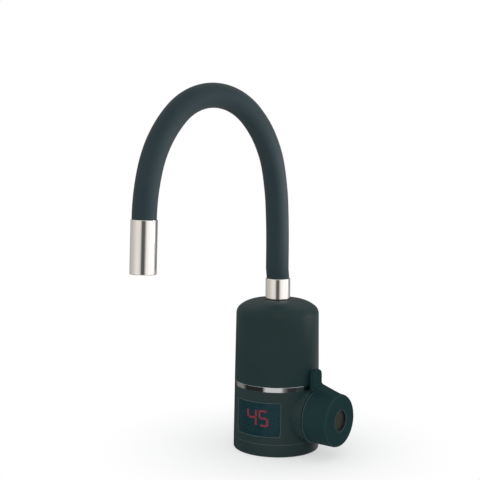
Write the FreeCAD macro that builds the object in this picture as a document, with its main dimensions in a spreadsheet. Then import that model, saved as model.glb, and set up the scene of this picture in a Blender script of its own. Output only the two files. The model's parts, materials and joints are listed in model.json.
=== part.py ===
"""Electric instant water heater tap: every separate piece as a solid, in millimetres.

Frame: origin at the mouth of the water inlet, +Z up the body, the display faces -Y and the
handle stands on the +X side. The spout arches over the front in a plane turned a little to -X.
"""

import math
import os

import FreeCAD
import Part
import Sketcher
from FreeCAD import Placement, Rotation, Vector

doc = FreeCAD.newDocument("InstantWaterHeaterTap")
sheet = doc.addObject("Spreadsheet::Sheet", "Sizes")


class Size:
    """A length with its value and the spreadsheet expression that gives it."""

    def __init__(self, value, text):
        self.value = float(value)
        self.text = text

    def __add__(self, other):
        other = as_size(other)
        return Size(self.value + other.value, "(%s + %s)" % (self.text, other.text))

    def __sub__(self, other):
        other = as_size(other)
        return Size(self.value - other.value, "(%s - %s)" % (self.text, other.text))

    def __mul__(self, other):
        other = as_size(other)
        return Size(self.value * other.value, "(%s * %s)" % (self.text, other.text))

    def __truediv__(self, other):
        other = as_size(other)
        return Size(self.value / other.value, "(%s / %s)" % (self.text, other.text))

    def __neg__(self):
        return Size(-self.value, "(0 - %s)" % self.text)

    def __radd__(self, other):
        return as_size(other) + self

    def __rsub__(self, other):
        return as_size(other) - self

    def __rmul__(self, other):
        return as_size(other) * self


def as_size(number):
    """A plain number as a size without a cell."""
    if isinstance(number, Size):
        return number
    return Size(number, "%.6f" % number if number >= 0 else "(0 - %.6f)" % -number)


rows_used = [0]


def cell(alias, value, note):
    """One driving dimension in the spreadsheet."""
    rows_used[0] += 1
    row = rows_used[0]
    sheet.set("A%d" % row, alias)
    sheet.set("B%d" % row, "%.4f" % value)
    sheet.set("C%d" % row, note)
    sheet.setAlias("B%d" % row, alias)
    return Size(value, "Sizes.%s" % alias)


# Outer form
base_r = cell("base_radius", 32.5, "outer radius at the foot")
mid_r = base_r - cell("lower_draft", 0.45, "draft of the lower housing, on the radius")
top_r = mid_r - cell("upper_draft", 0.75, "draft of the upper housing, on the radius")
foot_round = cell("foot_round", 1.0, "round on the bottom edge")
seam_z = cell("seam_height", 9.2, "height of the seam over the base plate")
seam_gap = cell("seam_gap", 0.3, "open line between base plate and housing")
ring_z = cell("ring_bottom", 48.5, "underside of the trim ring")
ring_h = cell("ring_height", 3.7, "height of the trim ring")
shoulder_round = cell("shoulder_round", 7.48, "shoulder round")
crown_edge_r = top_r - cell("shoulder_width", 2.88, "width of the shoulder round, seen from above")
crown_round = cell("crown_round", 23.1, "radius of the crown's arc")
crown_flat_r = crown_edge_r - cell("crown_slope", 14.22, "width of the crown's arc, seen from above")
wall = cell("housing_wall", 2.2, "wall of the housings")
inner_r = base_r - cell("lower_wall", 2.45, "wall of the lower housing at its foot")

# Fixings of the shells
post_ring = inner_r - cell("post_inset", 5.25, "base screws inside the housing's wall")
post_r = cell("post_outer_radius", 3.2, "base screw posts")
pilot_r = cell("pilot_radius", 1.6, "pilot holes of the posts")
upper_ring = inner_r - cell("upper_post_inset", 2.05, "housing screws inside the wall")
upper_post_r = cell("upper_post_radius", 2.5, "housing screw posts")
plate_floor = cell("plate_floor", 4.5, "floor of the base plate")
spigot_r = inner_r - cell("spigot_play", 0.15, "play of the locating spigot")
spigot_top = cell("spigot_top", 12.4, "top of the locating spigot")

# Water inlet
inlet_r = cell("inlet_bore_radius", 9.3, "G half inch inside thread")
inlet_len = cell("inlet_thread_length", 12.0, "length of the inside thread")
inlet_out = cell("inlet_outer_radius", 13.0, "outside of the inlet connector")
inlet_top = cell("inlet_top", 15.0, "top of the inlet connector")
water_r = cell("water_way_radius", 4.5, "water way above the strainer")

# Display
display_turn = cell("display_turn", 8.0, "display turned from the front to the handle side, degrees")
window_half = cell("window_half_width", 17.8, "half width of the display opening")
window_low = cell("window_bottom", 15.2, "bottom of the display opening")
window_high = cell("window_top", 40.3, "top of the display opening")
window_corner = cell("window_corner", 1.5, "corner round of the display opening")
board_x = inner_r - cell("board_inset", 10.05, "front face of the display board inside the wall")
module_depth = cell("module_depth", 5.2, "depth of the digit module")
digit_h = cell("digit_height", 12.2, "height of a digit")
digit_w = cell("digit_width", 8.0, "width of a digit")
digit_pitch = cell("digit_pitch", 9.7, "step from digit to digit")
digit_bar = cell("digit_bar", 1.3, "width of a digit bar")
digit_z = cell("digit_centre", 26.9, "height of the digits' centre")
digit_side = cell("digit_offset", 2.3, "digits left of the window's middle")

# Handle and cartridge
axis_z = cell("handle_axis", 29.0, "height of the handle's axis")
boss_r = cell("boss_radius", 19.4, "side boss of the lower housing")
boss_x = base_r + cell("boss_reach", 3.7, "side boss beyond the foot's radius")
hub_r = cell("hub_radius", 19.5, "outer radius of the handle's hub")
hub_x = boss_x + cell("hub_gap", 0.7, "gap between boss and hub")
face_x = hub_x + cell("hub_length", 21.2, "length of the hub")
hub_round = cell("hub_round", 2.5, "round on the hub's front edge")
dish_r = cell("dish_radius", 7.9, "round recess in the hub's face")
dish_d = cell("dish_depth", 2.6, "depth of the recess")
cap_in = cell("cap_inset", 1.3, "face of the cap below the hub's face")
lever_w = cell("lever_width", 10.0, "width of the thumb lever")
lever_in = hub_x - cell("lever_overhang", 3.0, "lever over the boss")
lever_out = lever_in + cell("lever_thickness", 4.2, "thickness of the lever")
lever_top = axis_z + hub_r + cell("lever_height", 16.3, "lever above the hub")
socket_r = cell("cartridge_radius", 11.0, "outside of the cartridge")
socket_x = boss_x - cell("socket_inset", 6.2, "cartridge socket inside the boss")
stem_r = cell("spindle_radius", 4.0, "radius of the spindle")

# Flow switch
pad_x = cell("diaphragm_seat", 9.0, "distance of the diaphragm seat behind the axis")
pad_r = cell("flow_cap_radius", 13.8, "outside of the flow switch cap")
pin_r = cell("flow_pin_radius", 1.5, "radius of the push pin")

# Heater
can_r = cell("heater_radius", 22.5, "outside of the heating chamber")
can_wall = cell("heater_wall", 2.5, "wall of the heating chamber")
lid_r = can_r + cell("flange_width", 2.8, "heater flange beyond the chamber")
lid_h = cell("lid_height", 4.8, "height of the heater lid")
can_top = cell("heater_top", 97.5, "top of the heating chamber")
neck_r = cell("neck_radius", 10.5, "outlet neck of the chamber")
neck_top = can_top + cell("neck_height", 9.5, "outlet neck above the chamber")
shoulder_z = can_top + cell("shoulder_rise", 5.22, "start of the shoulder above the chamber")
crown_edge_z = can_top + cell("crown_edge_rise", 11.12, "meeting of shoulder and crown above the chamber")
crown_z = can_top + cell("crown_rise", 16.2, "apex of the crown above the chamber")
leg_x = cell("element_leg_x", 12.5, "element legs from the axis")
leg_y = cell("element_leg_y", 6.0, "element planes from the axis")
sheath_r = cell("element_sheath", 2.5, "radius of the element's sheath")

# Spout
spout_turn = cell("spout_turn", 13.6, "spout turned from the front to -X, degrees")
stem_out = cell("stem_radius", 6.5, "swivel stem")
ferrule_r = cell("ferrule_radius", 9.35, "lower steel ferrule")
ferrule_low = crown_z - cell("ferrule_sink", 0.05, "ferrule below the crown's apex")
ferrule_high = ferrule_low + cell("ferrule_length", 15.7, "length of the ferrule")
hose_r = cell("hose_radius", 8.6, "outside of the silicone sleeve")
hose_bore = cell("hose_bore", 7.0, "inside of the silicone sleeve")
core_r = cell("core_radius", 6.8, "outside of the bendable core")
core_bore = cell("core_bore", 4.0, "inside of the bendable core")
hose_low = ferrule_low + cell("hose_seat", 1.75, "start of the hose inside the ferrule")
riser_z = hose_low + cell("riser_length", 53.4, "straight riser")
bend_a = cell("bend_wide", 170.0, "first bend of the riser")
bend_b = cell("bend_middle", 85.0, "second bend")
bend_c = cell("bend_crown", 46.0, "bend of the crown")
bend_d = cell("bend_drop", 151.0, "last bend before the outlet")
outlet_r = cell("outlet_radius", 9.3, "steel outlet sleeve")
outlet_len = cell("outlet_length", 37.2, "length of the outlet sleeve")
hose_in = cell("hose_in_outlet", 16.0, "hose inside the outlet sleeve")
doc.recompute()

ring_top = ring_z + ring_h
lid_top = ring_top + lid_h

BASE_SCREW_ANGLES = (90.0, 210.0, 330.0)
HOUSING_SCREW_ANGLES = (30.0, 150.0, 270.0)
LID_SCREW_ANGLES = (45.0, 135.0, 225.0, 315.0)
FLOW_SCREW_ANGLES = (45.0, 135.0, 225.0, 315.0)

TO_X = Rotation(Vector(0, 1, 0), 90)
TO_Y = Rotation(Vector(1, 0, 0), -90)
YAW_DISPLAY = Rotation(Vector(0, 0, 1), display_turn.value - 90.0)
YAW_SPOUT = Rotation(Vector(0, 0, 1), -90.0 - spout_turn.value)

parts = {}


def bind(thing, name, size):
    """Bind one property of an object to its size."""
    size = as_size(size)
    thing.setExpression(name, size.text)


def place(thing, at, turn=None):
    """Bind the position of an object, after an optional turn."""
    thing.Placement = Placement(Vector(0, 0, 0), turn or Rotation())
    for axis, size in zip("xyz", at):
        bind(thing, "Placement.Base.%s" % axis, size)
    return thing


def cylinder(radius, height, at=(0, 0, 0), turn=None):
    thing = doc.addObject("Part::Cylinder", "Cylinder")
    bind(thing, "Radius", radius)
    bind(thing, "Height", height)
    return place(thing, at, turn)


def box(size, at):
    thing = doc.addObject("Part::Box", "Box")
    for name, length in zip(("Length", "Width", "Height"), size):
        bind(thing, name, length)
    return place(thing, at)


def torus(ring, wire, at=(0, 0, 0), turn=None):
    thing = doc.addObject("Part::Torus", "Torus")
    bind(thing, "Radius1", ring)
    bind(thing, "Radius2", wire)
    return place(thing, at, turn)


def fuse(things):
    if len(things) == 1:
        return things[0]
    thing = doc.addObject("Part::MultiFuse", "Fuse")
    thing.Shapes = things
    return thing


def build_up(things):
    """Join pieces one after the other."""
    whole = things[0]
    for extra in things[1:]:
        joined = doc.addObject("Part::Fuse", "Joined")
        joined.Base = whole
        joined.Tool = extra
        whole = joined
    return whole


def cut(solid, tools):
    thing = doc.addObject("Part::Cut", "Cut")
    thing.Base = solid
    thing.Tool = fuse(tools)
    return thing


def common(first, second):
    thing = doc.addObject("Part::Common", "Common")
    thing.Base = first
    thing.Tool = second
    return thing


def group(things):
    thing = doc.addObject("Part::Compound", "Group")
    thing.Links = things
    return thing


def arc_middle(start, end, radius):
    """Middle of the short arc from start to end, bulging to the right of its travel."""
    ax, ay = start
    bx, by = end
    chord = math.hypot(bx - ax, by - ay)
    rise = radius - math.sqrt(radius * radius - chord * chord / 4.0)
    return (ax + bx) / 2.0 + (by - ay) / chord * rise, (ay + by) / 2.0 - (bx - ax) / chord * rise


def profile(sketch, points):
    """A closed outline; a point with a third entry ends an arc of that radius.

    The arc bulges to the right of the travel for a positive sign, to the left for a negative one.
    """
    values = [(as_size(p[0]).value, as_size(p[1]).value) for p in points]
    count = len(points)
    for i in range(count):
        j = (i + 1) % count
        start, end = values[i], values[j]
        arc = points[j][2] if len(points[j]) > 2 else None
        if arc is None:
            sketch.addGeometry(Part.LineSegment(Vector(*start, 0), Vector(*end, 0)), False)
            continue
        radius, sign = arc
        if sign < 0:
            start, end = end, start
        mid = arc_middle(start, end, as_size(radius).value)
        sketch.addGeometry(Part.Arc(Vector(*start, 0), Vector(*mid, 0), Vector(*end, 0)), False)
    heads = []
    tails = []
    for i in range(count):
        j = (i + 1) % count
        found = sketch.Geometry[i]
        first = found.StartPoint
        forward = math.hypot(first.x - values[i][0], first.y - values[i][1]) < 1e-6
        heads.append(1 if forward else 2)
        tails.append(2 if forward else 1)
    for i in range(count):
        j = (i + 1) % count
        sketch.addConstraint(Sketcher.Constraint("Coincident", i, tails[i], j, heads[j]))
    for i in range(count):
        for kind, line, entry, value in (
            ("DistanceX", -2, points[i][0], values[i][0]),
            ("DistanceY", -1, points[i][1], values[i][1]),
        ):
            if abs(value) < 1e-9:
                sketch.addConstraint(Sketcher.Constraint("PointOnObject", i, heads[i], line))
                continue
            at = sketch.addConstraint(Sketcher.Constraint(kind, -1, 1, i, heads[i], value))
            sketch.setExpression("Constraints[%d]" % at, as_size(entry).text)
        j = (i + 1) % count
        if len(points[j]) > 2:
            radius = as_size(points[j][2][0])
            at = sketch.addConstraint(Sketcher.Constraint("Radius", i, radius.value))
            sketch.setExpression("Constraints[%d]" % at, radius.text)


def own_plane(body, role):
    return [f for f in body.Origin.OriginFeatures if f.Role == role][0]


def turned(points, along="V_Axis", at=(0, 0, 0), turn=None):
    """A turned piece: an outline in the XZ plane swept about Z, or about X with along H_Axis."""
    body = doc.addObject("PartDesign::Body", "Turned")
    sketch = body.newObject("Sketcher::SketchObject", "Outline")
    sketch.AttachmentSupport = [(own_plane(body, "XZ_Plane"), "")]
    sketch.MapMode = "FlatFace"
    profile(sketch, points)
    sweep = body.newObject("PartDesign::Revolution", "Sweep")
    sweep.Profile = sketch
    sweep.ReferenceAxis = (sketch, [along])
    sweep.Angle = 360
    return place(body, at, turn)


def turned_x(points):
    """A turned piece about the handle's axis; points are distance along +X and radius."""
    return turned(points, "H_Axis", (0, 0, axis_z))


def padded(points, width):
    """A plate with an outline in the XZ plane, centred across Y."""
    body = doc.addObject("PartDesign::Body", "Plate")
    sketch = body.newObject("Sketcher::SketchObject", "Outline")
    sketch.AttachmentSupport = [(own_plane(body, "XZ_Plane"), "")]
    sketch.MapMode = "FlatFace"
    profile(sketch, points)
    pad = body.newObject("PartDesign::Pad", "Pad")
    pad.Profile = sketch
    pad.Midplane = True
    bind(pad, "Length", width)
    return body


def tube(r_out, r_in, low, high):
    return turned([(r_in, low), (r_out, low), (r_out, high), (r_in, high)])


def polar(radius, angle):
    """X and Y of a point on a circle about the body's axis."""
    return radius * math.cos(math.radians(angle)), radius * math.sin(math.radians(angle))


def around_x(radius, angle):
    """Y and Z of a point on a circle about the handle's axis."""
    y, z = polar(radius, angle)
    return y, z + axis_z


def rod_x(radius, start, end, y=0, z=None):
    """A round bar along +X between two distances."""
    return cylinder(radius, end - start, (start, y, axis_z if z is None else z), TO_X)


def keep(name, thing, turn=None):
    """Name a finished piece, turned about the body's axis if it belongs to a turned group."""
    if turn is not None:
        thing.Placement = Placement(Vector(0, 0, 0), turn)
    thing.Label = name
    parts[name] = thing
    return thing


# Base plate with its gasket groove and three screws
plate = turned(
    [
        (inlet_out + 0.2, 0),
        (base_r - foot_round, 0),
        (base_r, foot_round, (foot_round, 1)),
        (base_r, seam_z),
        (spigot_r, seam_z),
        (spigot_r, spigot_top),
        (spigot_r - 1.6, spigot_top),
        (spigot_r - 1.6, plate_floor),
        (inlet_out + 0.2, plate_floor),
    ]
)
gasket_in = inlet_out + 2.5
gasket_out = gasket_in + 5.2
gasket_h = as_size(1.5)
plate_cuts = [tube(gasket_out, gasket_in, -1, gasket_h)]
screw_things = []
for angle in BASE_SCREW_ANGLES:
    x, y = polar(post_ring, angle)
    plate_cuts.append(cylinder(pilot_r + 0.15, plate_floor + 2, (x, y, -1)))
    plate_cuts.append(cylinder(post_r - 0.1, as_size(3.2), (x, y, -1)))
    screw = turned([(0, 0.4), (2.9, 0.4), (2.9, 2.15), (1.5, 2.15), (1.5, 14.0), (0, 14.6)], at=(x, y, 0))
    screw_things.append(screw)
keep("base_plate", cut(plate, plate_cuts))
keep("base_gasket", tube(gasket_out - 0.05, gasket_in + 0.05, 0.02, gasket_h))
keep("base_screws", group(screw_things))

# Water inlet with its inside thread, strainer and seal
strainer_z = inlet_len + 1.2
keep(
    "inlet_connector",
    turned(
        [
            (inlet_r, 0),
            (inlet_out, 0),
            (inlet_out, plate_floor),
            (inlet_out + 2.4, plate_floor),
            (inlet_out + 2.4, plate_floor + 2.5),
            (inlet_out, plate_floor + 2.5),
            (inlet_out, inlet_top),
            (7.7, inlet_top),
            (7.7, inlet_top - 1.1),
            (5.9, inlet_top - 1.1),
            (5.9, inlet_top),
            (water_r, inlet_top),
            (water_r, strainer_z),
            (7.0, strainer_z),
            (7.0, inlet_len),
            (inlet_r, inlet_len),
        ]
    ),
)
mesh_holes = [cylinder(0.9, 4, (0, 0, inlet_len - 1))]
for ring, holes in ((2.3, 6), (4.5, 12)):
    for step in range(holes):
        x, y = polar(as_size(ring), 360.0 * step / holes)
        mesh_holes.append(cylinder(0.75, 4, (x, y, inlet_len - 1)))
keep("inlet_strainer", cut(cylinder(6.9, 1.1, (0, 0, inlet_len)), mesh_holes))
keep("inlet_seal", tube(as_size(7.6), as_size(6.0), inlet_top - 1.1, inlet_top))

# Lower housing: shell, side boss for the handle, posts, display opening and cable boss
shell = turned(
    [
        (inner_r, seam_z + seam_gap),
        (base_r, seam_z + seam_gap),
        (mid_r, ring_z),
        (inner_r, ring_z),
    ]
)
boss = cut(rod_x(boss_r, inner_r - 10, boss_x), [cylinder(inner_r + 0.8, ring_z * 2, (0, 0, 0))])
gland_z = axis_z - 2
cable_boss = cylinder(8.5, 8.2, (0, base_r - 7.5, gland_z), TO_Y)
def window_block(half, low, high, corner, start, end):
    """A block facing the display's direction, with rounded corners seen from the front."""
    width = half * 2
    upright = box((end - start, width - corner * 2, high - low), (start, corner - half, low))
    across = box((end - start, width, high - low - corner * 2), (start, -half, low + corner))
    rounds = []
    for y in (corner - half, half - corner):
        for z in (low + corner, high - corner):
            rounds.append(cylinder(corner, end - start, (start, y, z), TO_X))
    return fuse([upright, across] + rounds)


def facing_display(thing):
    thing.Placement = Placement(Vector(0, 0, 0), YAW_DISPLAY)
    return thing


post_things = []
post_holes = []
for angle in BASE_SCREW_ANGLES:
    x, y = polar(post_ring, angle)
    post_things.append(cylinder(post_r, 11.4, (x, y, plate_floor + 0.1)))
    rib = group([box((5.2, 2.0, 3.2), (post_ring + 0.5, -1, spigot_top + 0.4))])
    rib.Placement = Placement(Vector(0, 0, 0), Rotation(Vector(0, 0, 1), angle))
    post_things.append(rib)
    post_holes.append(cylinder(pilot_r, 12, (x, y, plate_floor - 1)))
for angle in HOUSING_SCREW_ANGLES:
    x, y = polar(upper_ring, angle)
    post_things.append(cylinder(upper_post_r, 4.6, (x, y, ring_z - 4.6)))
    post_holes.append(cylinder(pilot_r, 8, (x, y, ring_z - 7)))
opening = facing_display(
    window_block(window_half, window_low, window_high, window_corner, inner_r - 8, base_r + 7.5)
)
shell_cuts = [
    rod_x(boss_r - 2.1, as_size(12), boss_x - 2.2),
    rod_x(as_size(9.0), as_size(20), boss_x + 2),
    cylinder(6.1, 14, (0, base_r - 10.5, gland_z), TO_Y),
    opening,
]
housing = build_up([shell, boss, cable_boss] + post_things)
keep("lower_housing", cut(housing, shell_cuts + post_holes))

# Trim ring between the housings
ring_holes = []
for angle in HOUSING_SCREW_ANGLES:
    x, y = polar(upper_ring, angle)
    ring_holes.append(cylinder(pilot_r + 0.1, ring_h + 2, (x, y, ring_z - 1)))
ring_round = as_size(0.5)
trim = turned(
    [
        (lid_r - 1.1, ring_z),
        (mid_r + 0.15 - ring_round, ring_z),
        (mid_r + 0.15, ring_z + ring_round, (ring_round, 1)),
        (mid_r + 0.15, ring_top - ring_round),
        (mid_r + 0.15 - ring_round, ring_top, (ring_round, 1)),
        (lid_r - 1.1, ring_top),
    ]
)
keep("trim_ring", cut(trim, ring_holes))

# Upper housing: tall shell, rounded shoulder and slightly domed crown
crown_hole = stem_out + 0.5
dome = turned(
    [
        (mid_r - wall, ring_top),
        (mid_r, ring_top),
        (top_r, shoulder_z),
        (crown_edge_r, crown_edge_z, (shoulder_round, 1)),
        (crown_flat_r, crown_z - 0.2, (crown_round, 1)),
        (crown_hole, crown_z - 0.2),
        (crown_hole, crown_z - wall - 0.2),
        (crown_flat_r, crown_z - wall - 0.2),
        (crown_edge_r - wall * 0.6147, crown_edge_z - wall * 0.7888, (crown_round - wall, -1)),
        (top_r - wall, shoulder_z, (shoulder_round - wall, -1)),
    ]
)
dome_posts = []
dome_holes = []
housing_screw_things = []
for angle in HOUSING_SCREW_ANGLES:
    x, y = polar(upper_ring, angle)
    dome_posts.append(cylinder(upper_post_r, 11.8, (x, y, ring_top)))
    dome_holes.append(cylinder(pilot_r, 11, (x, y, ring_top - 1)))
    low = ring_z - 6.4
    housing_screw_things.append(
        turned(
            [
                (0, low),
                (2.0, low),
                (2.0, low + 1.7),
                (1.45, low + 1.7),
                (1.45, ring_top + 9),
                (0, ring_top + 9.6),
            ],
            at=(x, y, 0),
        )
    )
keep("upper_housing", cut(fuse([dome] + dome_posts), dome_holes))
keep("housing_screws", group(housing_screw_things))

# Display: curved window, board, digit module, lit and unlit bars, screws
lens_in = inner_r - 1.85
lens_ring = tube(mid_r + 0.1, lens_in, window_low - 4, window_high + 4)
flange_ring = tube(inner_r - 0.08, lens_in, window_low - 4, window_high + 4)
lens = common(
    lens_ring,
    window_block(
        window_half - 0.08, window_low + 0.08, window_high - 0.08, window_corner, inner_r - 8, base_r + 7.5
    ),
)
flange = common(
    flange_ring,
    window_block(
        window_half + 1.4, window_low - 1.4, window_high + 1.4, window_corner, inner_r - 8, base_r + 7.5
    ),
)
window_posts = []
window_pilots = []
display_screw_things = []
board_holes = []
post_y = window_half - 2.6
for side in (-1, 1):
    window_posts.append(rod_x(as_size(2.0), board_x, board_x + 4.9, post_y * side, digit_z))
    window_pilots.append(rod_x(as_size(0.9), board_x - 1, board_x + 4, post_y * side, digit_z))
    board_holes.append(rod_x(as_size(1.1), board_x - 3, board_x + 1, post_y * side, digit_z))
    head = rod_x(as_size(1.9), board_x - 2.9, board_x - 1.6, post_y * side, digit_z)
    shank = rod_x(as_size(0.85), board_x - 1.7, board_x + 3.6, post_y * side, digit_z)
    display_screw_things.append(fuse([head, shank]))
keep("display_window", cut(fuse([lens, flange] + window_posts), window_pilots), YAW_DISPLAY)
board = box((1.6, 38, window_high - window_low), (board_x - 1.6, -19, window_low + 1))
keep("display_board", cut(board, board_holes), YAW_DISPLAY)
module_half = digit_pitch / 2 + digit_w / 2 + 1.2
module_high = digit_h + 6.9
module_box = box(
    (module_depth, module_half * 2, module_high),
    (board_x, -digit_side - module_half, digit_z - module_high / 2),
)
keep("led_module", group([module_box]), YAW_DISPLAY)

# Seven-bar digits; a bar is named by its place, top to bottom
LIT_BARS = {
    -1: ("upper_left", "upper_right", "middle", "lower_right"),
    1: ("top", "upper_left", "middle", "lower_right", "bottom"),
}
bar_front = board_x + module_depth
bar_thick = as_size(0.3)
half_w = digit_w / 2
half_h = digit_h / 2
BAR_PLACES = {
    "top": (0, half_h - digit_bar / 2, True),
    "middle": (0, 0, True),
    "bottom": (0, digit_bar / 2 - half_h, True),
    "upper_left": (digit_bar / 2 - half_w, half_h / 2, False),
    "upper_right": (half_w - digit_bar / 2, half_h / 2, False),
    "lower_left": (digit_bar / 2 - half_w, -half_h / 2, False),
    "lower_right": (half_w - digit_bar / 2, -half_h / 2, False),
}
bars = {True: [], False: []}
for side, lit_names in LIT_BARS.items():
    for place_name, (dy, dz, level) in BAR_PLACES.items():
        wide = digit_w - digit_bar * 2 - 0.3 if level else digit_bar
        high = digit_bar if level else half_h - digit_bar / 2 - 0.25
        y = digit_pitch / 2 * side + dy - digit_side
        bar = box((bar_thick, wide, high), (bar_front, y - wide / 2, digit_z + dz - high / 2))
        bars[place_name in lit_names].append(bar)
keep("led_segments_lit", group(bars[True]), YAW_DISPLAY)
keep("led_segments_unlit", group(bars[False]), YAW_DISPLAY)
keep("display_screws", group(display_screw_things), YAW_DISPLAY)

# Valve body: column on the inlet, cartridge socket to +X, flow switch seat to -X
column_r = as_size(8.8)
column_top = axis_z + 15
valve = fuse(
    [
        cylinder(column_r, column_top - inlet_top, (0, 0, inlet_top)),
        rod_x(socket_r + 2.5, as_size(0), socket_x),
        rod_x(pad_r, -pad_x, as_size(0)),
    ]
)
flow_screw_r = as_size(0.9)
flow_ring = pad_r - 1.75
valve_cuts = [
    cylinder(water_r, 9, (0, 0, inlet_top - 1)),
    rod_x(socket_r + 0.15, socket_x - 20, socket_x + 1),
    rod_x(as_size(3.0), as_size(-1), as_size(11)),
    cylinder(3.0, 8, (0, 0, inlet_top + 7)),
    cylinder(4.6, 5, (0, 0, column_top - 4)),
    cylinder(3.0, 9, (0, 0, axis_z + 4)),
    cylinder(3.0, 12, (6, 0, axis_z + 4), Rotation(Vector(0, 1, 0), -90)),
    rod_x(socket_r, -pad_x - 1, -pad_x + 2.5),
    rod_x(as_size(1.5), -pad_x, as_size(0)),
]
for angle in FLOW_SCREW_ANGLES:
    y, z = around_x(flow_ring, angle)
    valve_cuts.append(rod_x(flow_screw_r + 0.05, -pad_x - 1, -pad_x + 6, y, z))
keep("valve_body", cut(valve, valve_cuts))

# Ceramic cartridge on the handle's axis
seat_x = socket_x - 20
keep("cartridge_seal", turned_x([(seat_x, 4.0), (seat_x + 1.5, 4.0), (seat_x + 1.5, 10.8), (seat_x, 10.8)]))
disc_x = seat_x + 1.5
disc_h = as_size(3.0)


def port_disc(radius, start):
    """A ceramic disc with two ports either side of the axis."""
    ports = []
    for side in (-1, 1):
        ports.append(rod_x(as_size(2.4), start - 1, start + disc_h + 1, as_size(4.6 * side)))
    return cut(rod_x(radius, start, start + disc_h), ports)


keep("ceramic_disc_fixed", port_disc(socket_r - 1.5, disc_x))
keep("ceramic_disc_moving", port_disc(socket_r - 2, disc_x + disc_h + 0.02))
cup_end = socket_x - 1
keep(
    "cartridge_body",
    turned_x(
        [
            (disc_x, socket_r - 1.3),
            (disc_x, socket_r),
            (cup_end, socket_r),
            (cup_end, stem_r + 0.05),
            (cup_end - 2, stem_r + 0.05),
            (cup_end - 2, socket_r - 1.3),
        ]
    ),
)
driver_x = disc_x + disc_h * 2 + 0.04
spindle_end = face_x - 7.5
keep(
    "valve_spindle",
    turned_x(
        [
            (driver_x, 0),
            (driver_x, socket_r - 2),
            (driver_x + 3, socket_r - 2),
            (driver_x + 3, stem_r),
            (spindle_end, stem_r),
            (spindle_end, 1.6),
            (spindle_end - 12, 1.6),
            (spindle_end - 12, 0),
        ]
    ),
)
ring_wire = as_size(0.9)
keep(
    "spindle_o_ring",
    torus(stem_r + 0.05 + ring_wire, ring_wire, (cup_end - 2 - ring_wire, 0, axis_z), TO_X),
)
nut_bore = stem_r + 0.3
keep(
    "cartridge_nut",
    turned_x(
        [
            (cup_end, nut_bore),
            (cup_end, socket_r),
            (socket_x, socket_r),
            (socket_x, socket_r + 2.5),
            (boss_x - 2.5, socket_r + 2.5),
            (boss_x - 2.5, 8.6),
            (boss_x - 0.1, 8.6),
            (boss_x - 0.1, nut_bore),
        ]
    ),
)

# Handle: hollow hub with a thumb lever on top, cap in its face, screw into the spindle
head_x = face_x - 5.0
hub = turned_x(
    [
        (spindle_end, 1.7),
        (head_x, 1.7),
        (head_x, 3.0),
        (face_x - dish_d, 3.0),
        (face_x - dish_d, dish_r),
        (face_x, dish_r),
        (face_x, hub_r - hub_round),
        (face_x - hub_round, hub_r, (hub_round, 1)),
        (hub_x, hub_r),
        (hub_x, hub_r - 2.7),
        (head_x - 0.5, hub_r - 2.7),
        (head_x - 0.5, 6.5),
        (hub_x + 1.1, 6.5),
        (hub_x + 1.1, stem_r + 0.02),
        (spindle_end, stem_r + 0.02),
    ]
)
hub_top = axis_z + hub_r
lever_side = padded(
    [
        (hub_x, hub_top - 1.6),
        (face_x - 1.2, hub_top - 1.6),
        (face_x - 1.2, hub_top - 1.15),
        (lever_out + 0.9, hub_top + 4.55),
        (lever_out, hub_top + 5.6),
        (lever_out, lever_top - 2),
        (lever_out - 2, lever_top, (2.0, 1)),
        (lever_in + 2, lever_top),
        (lever_in, lever_top - 2, (2.0, 1)),
        (lever_in, hub_top + 1.5),
        (hub_x, hub_top + 1.5),
    ],
    lever_w,
)
tip = lever_w / 2
lever_front = fuse(
    [
        box((40, lever_w, lever_top - tip - hub_top + 8), (25, -tip, hub_top - 8)),
        cylinder(tip, 40, (25, 0, lever_top - tip), TO_X),
    ]
)
keep("handle", fuse([hub, common(lever_side, lever_front)]))
keep(
    "handle_cap",
    turned_x(
        [
            (face_x - dish_d, 0),
            (face_x - dish_d, dish_r - 0.1),
            (face_x - cap_in - 0.3, dish_r - 0.1),
            (face_x - cap_in, dish_r - 0.4),
            (face_x - cap_in, 0),
        ]
    ),
)
keep(
    "handle_screw",
    turned_x(
        [
            (spindle_end - 9, 0),
            (spindle_end - 9, 1.5),
            (head_x, 1.5),
            (head_x, 2.9),
            (head_x + 2.2, 2.9),
            (head_x + 2.2, 1.2),
            (head_x + 1.0, 1.2),
            (head_x + 1.0, 0),
        ]
    ),
)

# Flow switch: diaphragm, push plate with pin, spring, cap, screws and microswitch
flow_holes = []
flow_screw_things = []
skin = as_size(1.0)
cap_end = pad_x + 9.5
for angle in FLOW_SCREW_ANGLES:
    y, z = around_x(flow_ring, angle)
    flow_holes.append(rod_x(flow_screw_r + 0.05, -cap_end - 1, as_size(0), y, z))
    shank = rod_x(flow_screw_r, -cap_end - 0.1, -pad_x + 4.5, y, z)
    head = rod_x(as_size(1.6), -cap_end - 1.4, -cap_end, y, z)
    flow_screw_things.append(fuse([shank, head]))
diaphragm = rod_x(pad_r, -pad_x - skin, -pad_x)
keep("diaphragm", cut(diaphragm, [fuse(flow_holes)]))
push_x = pad_x + skin
pin_end = cap_end + 0.25
keep(
    "pressure_plate",
    fuse([rod_x(as_size(8.5), -push_x - 1.2, -push_x), rod_x(pin_r, -pin_end, -push_x - 1.1)]),
)
cap_cup = turned_x(
    [
        (-push_x, socket_r),
        (-push_x, pad_r),
        (-cap_end, pad_r),
        (-cap_end, pin_r + 0.05),
        (1.5 - cap_end, pin_r + 0.05),
        (1.5 - cap_end, socket_r),
    ]
)
switch_half = as_size(3.2)
cheeks = []
for side in (-1, 1):
    y = switch_half * side if side > 0 else -switch_half - 1.8
    cheeks.append(box((8.6, 1.8, 14), (-cap_end - 8.5, y, axis_z - 7)))
keep("flow_switch_cap", cut(fuse([cap_cup] + cheeks), [fuse(flow_holes)]))
keep("flow_switch_screws", group(flow_screw_things))
switch_x = cap_end + 1.5
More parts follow.
